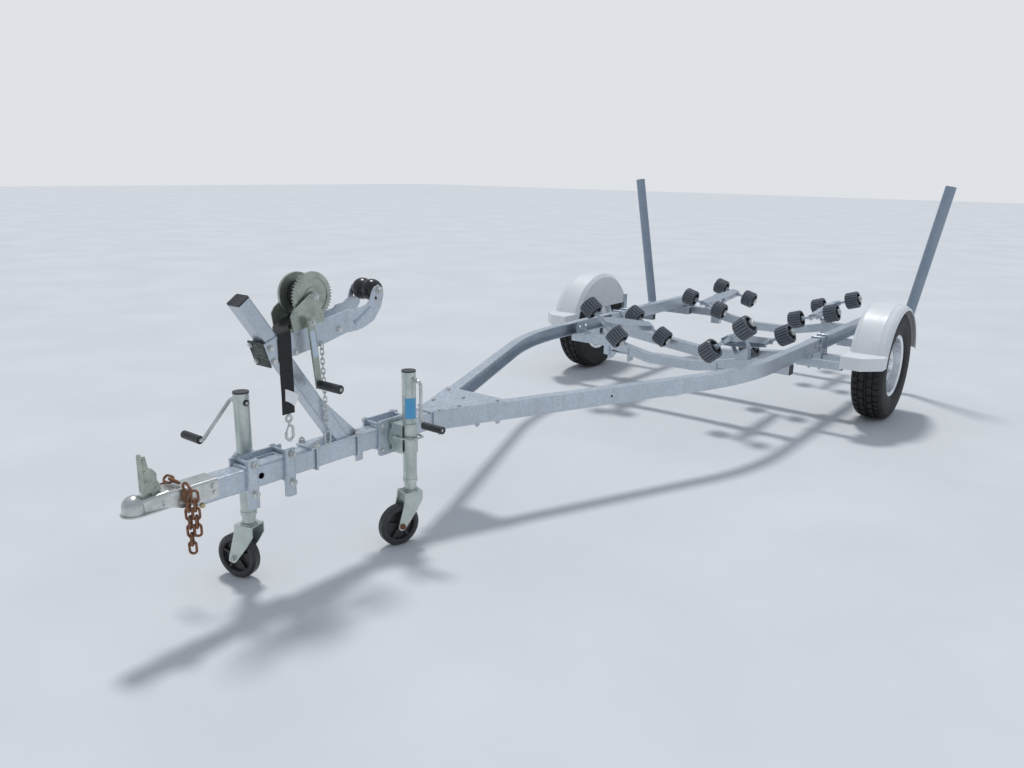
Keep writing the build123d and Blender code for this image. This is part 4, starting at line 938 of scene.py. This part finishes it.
tyre = turned_wall("tyre", tyre_rings, TYRE_SIDES)
pick(tyre, "FACE", tread_groove)
bpy.ops.mesh.extrude_region_shrink_fatten(TRANSFORM_OT_shrink_fatten={"value": -GROOVE_DEPTH})
close_edit(tyre)
for side, name in SIDES:
    worn = placed(tyre, Matrix.Translation(at(side * WHEEL_X, WHEEL_Y, WHEEL_R)))
    worn.name = "road_tyre_" + name
    dress(worn, tyre_rubber, "wheel_" + name)
    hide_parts("tyre_" + name)
discard(tyre)

# %% [markdown]
# Each wheel is held by five nuts round its hub, and has a valve near its rim. The nuts are copies
# on a circle, and the valve is a stem with a thinner cap.

# %% Wheel nuts and valves
WHEEL_NUTS, NUT_CIRCLE, FIRST_NUT = 5, 53, 0.3  # how many, radius, angle of the first
for side, name in SIDES:
    spots = []
    for i in range(WHEEL_NUTS):
        angle = math.tau * i / WHEEL_NUTS + FIRST_NUT
        y, z = WHEEL_Y + NUT_CIRCLE * math.cos(angle), WHEEL_R + NUT_CIRCLE * math.sin(angle)
        spots.append((at(side * (WHEEL_X + 20), y, z), (side, 0, 0)))
    wheel_nuts = copies("wheel_nuts_" + name, nut_models[12], spots)
    dress(wheel_nuts, bright_zinc, "wheel_" + name)

    root = at(side * (WHEEL_X + 12), WHEEL_Y + 30, WHEEL_R + 124)
    neck = root + Vector((side * 0.024, 0.002, 0.005))
    stem = bar("valve", 5, root, root + Vector((side * 0.028, 0.002, 0.006)), 16)
    cap = bar("valve_cap", 4, neck, root + Vector((side * 0.038, 0.003, 0.008)), 16)
    valve = soften(join("valve_" + name, [stem, cap]), 1)
    dress(valve, black_plastic, "wheel_" + name)

# %% [markdown]
# ## Rollers
# The shafts of the rollers end in pressed caps, which keep the rollers on. The cap's face is
# inset three times: a rounded rim, a flat, and a small dome over the end of the shaft.

# %% Caps on the roller shafts
# Each row: cradle, then its two shafts as y, x, z and lean in degrees
SHAFTS = {
    "cradle_front": [(2737.0, 370.0, 470.0, 39.0), (3275.0, 378.0, 374.0, 29.0)],
    "cradle_rear": [(4051.0, 374.0, 423.0, 17.0), (4522.0, 361.0, 450.0, 17.0)],
}
CAP_REACH = 0.162  # from the middle of the shaft
cap_model = bar("shaft_cap", 21, Vector((0, 0, -0.002)), Vector((0, 0, 0.003)), 32)
pick(cap_model, "FACE", lambda face: face.normal.z > 0.9)
for rim, rise in ((0.003, 0.002), (0.008, 0.001), (0.002, 0.003)):
    bpy.ops.mesh.inset(thickness=rim, depth=rise)
close_edit(cap_model)
for cradle, rows in SHAFTS.items():
    for side, name in SIDES:
        spots = []
        for y, x, z, shaft_lean in rows:
            angle = math.radians(shaft_lean)
            way = Vector((side * math.cos(angle), 0, math.sin(angle)))
            for end in (-1, 1):
                spots.append((at(side * x, y, z) + way * (end * CAP_REACH), tuple(way * end)))
        caps = copies(f"{cradle}_{name}_caps", cap_model, spots)
        dress(caps, bright_zinc, f"{cradle}_{name}")
discard(cap_model)

# %% [markdown]
# ## Fenders
# A moulded fender is stiffened by two low ribs that run over its crown, and its open edge is
# rolled into a bead. Each is a bar along an arc, sunk into the shell so that half of it shows.

# %% Ribs and beads of the fenders
# Each row: x, distance of the bar's middle from the axle, its radius
FENDER_BARS = [(871, 333.4, 3.2), (988, 333.4, 3.2), (1038, 306.5, 2.5)]
FENDER_ARC = range(20, 171, 5)  # degrees, from the front over the top
for side, name in SIDES:
    bars = []
    for x, reach, radius in FENDER_BARS:
        arc = []
        for angle in map(math.radians, FENDER_ARC):
            y, z = WHEEL_Y - reach * math.cos(angle), WHEEL_R + reach * math.sin(angle)
            arc.append(at(side * x, y, z))
        bars.append(bent_bar("fender_bar", radius, arc, 3))
    dress(join("fender_bars_" + name, bars), white_plastic, "frame")

# %% [markdown]
# ## Labels
# A blank white label is sewn to the strap, and its free end stands off a little and curls.

# %% Strap label
label_stations = [
    (at(41.2, 245, 628), (0.05, 0, 1)), (at(41.6, 255, 624), (0.05, 0, 1)),
    (at(42.4, 265, 618), (0.1, 0.1, 1)), (at(43.8, 275, 611), (0.2, 0.2, 1)),
    (at(46.0, 283, 603), (0.25, 0.3, 1)),
]
label = ribbon("strap_label", 38, 0.7, label_stations)
dress(label, blank_label, "frame")

# %% [markdown]
# The winch's lever carries a long sticker with nothing on it. It is a thin block, turned with the
# lever from the pinion's height towards the grip.

# %% Lever label
GRIP_Y, GRIP_Z = 352, 646
LEVER_FACE_X = 73.3
LABEL_MIDDLE = 0.068  # below the pinion, along the lever, in metres
along = (at(0, GRIP_Y, GRIP_Z) - at(0, PINION_Y, PINION_Z)).normalized()
sheet_middle = at(LEVER_FACE_X, PINION_Y, PINION_Z) + along * LABEL_MIDDLE
half_sheet = Vector((0.0002, 0.009, 0.042))
lever_label = block("lever_label", -half_sheet, half_sheet)
outwards = Vector(LEFT)
lie = Matrix((outwards, along.cross(outwards), along)).transposed().to_4x4()
lever_label.data.transform(Matrix.Translation(sheet_middle) @ lie)
dress(lever_label, pale_label, "frame")

# %% [markdown]
# ## Chains
# A chain link is a ring of round bar, drawn long: a torus whose two halves are moved apart.
# Each link hangs in the one above it and is turned a quarter against it.

# %% Chain links
def link_model(name, length, width, wire):
    """A long ring along z, its sizes in millimetres."""
    deselect()
    bpy.ops.mesh.primitive_torus_add(
        major_radius=(width - wire) / 2000, minor_radius=wire / 2000, major_segments=28,
        minor_segments=12, rotation=(math.pi / 2, 0, 0),
    )
    ring = settle(bpy.context.object)
    ring.name = name
    apart = (length - width) / 2000
    for side in (-1, 1):
        pick(ring, "VERT", lambda point: point.co.z * side > 1e-5)
        bpy.ops.transform.translate(value=(0, 0, side * apart))
        close_edit(ring)
    return ring


def chain_run(model, start, end, length, wire, first_turn):
    """Copies of a link from start to end, each turned a quarter."""
    way = (end - start).normalized()
    pitch = (length - 2.45 * wire) / 1000
    side = way.cross(Vector((0.02, 1, 0.01))).normalized()
    count = int(((end - start).length - length / 1000) / pitch) + 1
    made = []
    for i in range(count):
        middle = start + way * (length / 2000 + i * pitch)
        face = Matrix.Rotation(math.radians(first_turn + 90 * (i % 2)), 3, way) @ side
        turn = Matrix((face.cross(way), face, way)).transposed().to_4x4()
        made.append(placed(model, Matrix.Translation(middle) @ turn))
    return made


HEAVY_LENGTH, HEAVY_WIDTH, HEAVY_WIRE = 44, 27, 7.5
heavy_link = link_model("heavy_link", HEAVY_LENGTH, HEAVY_WIDTH, HEAVY_WIRE)
print("heavy link", [round(size, 4) for size in heavy_link.dimensions], "m")

# %% [markdown]
# The heavy rusty chain lies over the coupler's neck, and its ends hang down on both sides.

# %% Safety chain
# Each row: start, end, turn of the first link in degrees
HEAVY_RUNS = [
    ((-48, -116, 445.8), (42, -108, 445.8), 45), ((36, -107, 449), (60, -104, 424), 75),
    ((53, -107, 432), (51.5, -102, 230), 45), ((60, -91, 430), (56, -85, 262), 40),
    ((-50.8, -118, 431), (-50.8, -112, 380), 45),
]
heavy = []
for start, end, first_turn in HEAVY_RUNS:
    heavy += chain_run(heavy_link, at(*start), at(*end), HEAVY_LENGTH, HEAVY_WIRE, first_turn)
discard(heavy_link)
safety_chain = dress(join("rusty_chain", heavy), rusty_iron, "frame")
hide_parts("safety_chain")

# %% [markdown]
# The light one hangs from an eye through the bow arm's plate, and ends in a snap hook.

# %% Bow chain
LIGHT_LENGTH, LIGHT_WIDTH, LIGHT_WIRE = 25, 14, 3.8
CHAIN_EYE = [(34, 772), (48.5, 772), (48.5, 746.3), (37.5, 746.3), (37.5, 766)]  # x and z
SNAP_HOOK = [(400, 478), (411, 470), (411, 440), (400, 432), (389, 440), (389, 470), (398, 477)]
light_link = link_model("light_link", LIGHT_LENGTH, LIGHT_WIDTH, LIGHT_WIRE)
top, bottom = at(41.5, 391, 752), at(41.5, 399, 480)
light = chain_run(light_link, top, bottom, LIGHT_LENGTH, LIGHT_WIRE, 45)
discard(light_link)
light.append(bent_bar("chain_eye", 2, [at(x, 391, z) for x, z in CHAIN_EYE], 4))
light.append(bent_bar("snap", 3, [at(42, y, z) for y, z in SNAP_HOOK], 6))
bow_chain = dress(join("light_chain", light), bright_zinc, "frame")
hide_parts("bow_chain")

# %% [markdown]
# ## Jacks
# A blank blue label is wrapped round the near side of the rear jack's tube. It starts as a whole
# sleeve, and the faces on the other sides are cut away.

# %% Jack label
JACKS = {"front": (178, -90, -74), "rear": (715, 97, -15)}  # y, x, castor's turn in degrees
LABEL_Z, LABEL_HEIGHT, LABEL_RADIUS = 499, 0.074, 0.0246
LABEL_FACING, LABEL_EDGE = Vector((0.86, -0.51)).normalized(), 0.70
jack_y, jack_x, _ = JACKS["rear"]
label_middle = at(jack_x, jack_y, LABEL_Z)


def off_the_label(face):
    """Faces of the sleeve that point away from the label's middle."""
    away = (face.calc_center_median() - label_middle).to_2d().normalized()
    return away.dot(LABEL_FACING) < LABEL_EDGE


deselect()
bpy.ops.mesh.primitive_cylinder_add(
    vertices=64, radius=LABEL_RADIUS, depth=LABEL_HEIGHT, end_fill_type="NOTHING",
    location=label_middle,
)
sticker = settle(bpy.context.object)
sticker.name = "jack_label"
pick(sticker, "FACE", off_the_label)
bpy.ops.mesh.delete(type="FACE")
thicken(close_edit(sticker), 0.4, 1)
dress(sticker, blue_label, "rear_jack")

# %% [markdown]
# The front jack's gear shaft is a bright pin in a dark collar. Each jack wheel turns on a bolt,
# with its nut on one side of the fork and its head on the other. The rear one has rusted.

# %% Gear shaft and wheel bolts
GEAR_Y, GEAR_Z = 178, 598
WHEEL_HEIGHT, TRAIL = 75, 50
FORK_FACE = 0.030  # metres from the fork's middle
collar = bar("collar", 10, at(-67, GEAR_Y, GEAR_Z), at(-62, GEAR_Y, GEAR_Z))
dress(soften(collar, 1), gloss_black, "frame")
shaft_end = bar("gear_shaft", 5, at(-66, GEAR_Y, GEAR_Z), at(-59, GEAR_Y, GEAR_Z), 20)
dress(soften(shaft_end, 1), bright_zinc, "frame")
for name, (y, x, degrees) in JACKS.items():
    castor = math.radians(degrees)
    way = Vector((math.cos(castor), math.sin(castor), 0))
    middle = at(x + TRAIL * math.sin(castor), y - TRAIL * math.cos(castor), WHEEL_HEIGHT)
    axle_bolt = join(f"{name}_axle_bolt", [
        copies("axle_nut", nut_models[10], [(middle + way * FORK_FACE, tuple(way))]),
        copies("axle_head", bolt_models[10], [(middle - way * FORK_FACE, tuple(-way))]),
    ])
    metal = rusty_iron if name == "rear" else bright_zinc
    dress(axle_bolt, metal, f"{name}_jack_fork")

# %% [markdown]
# The fasteners' models were only there to be copied, so they are taken away.

# %% Put the bench models away
for model in [rivet, *bolt_models.values(), *nut_models.values()]:
    discard(model)
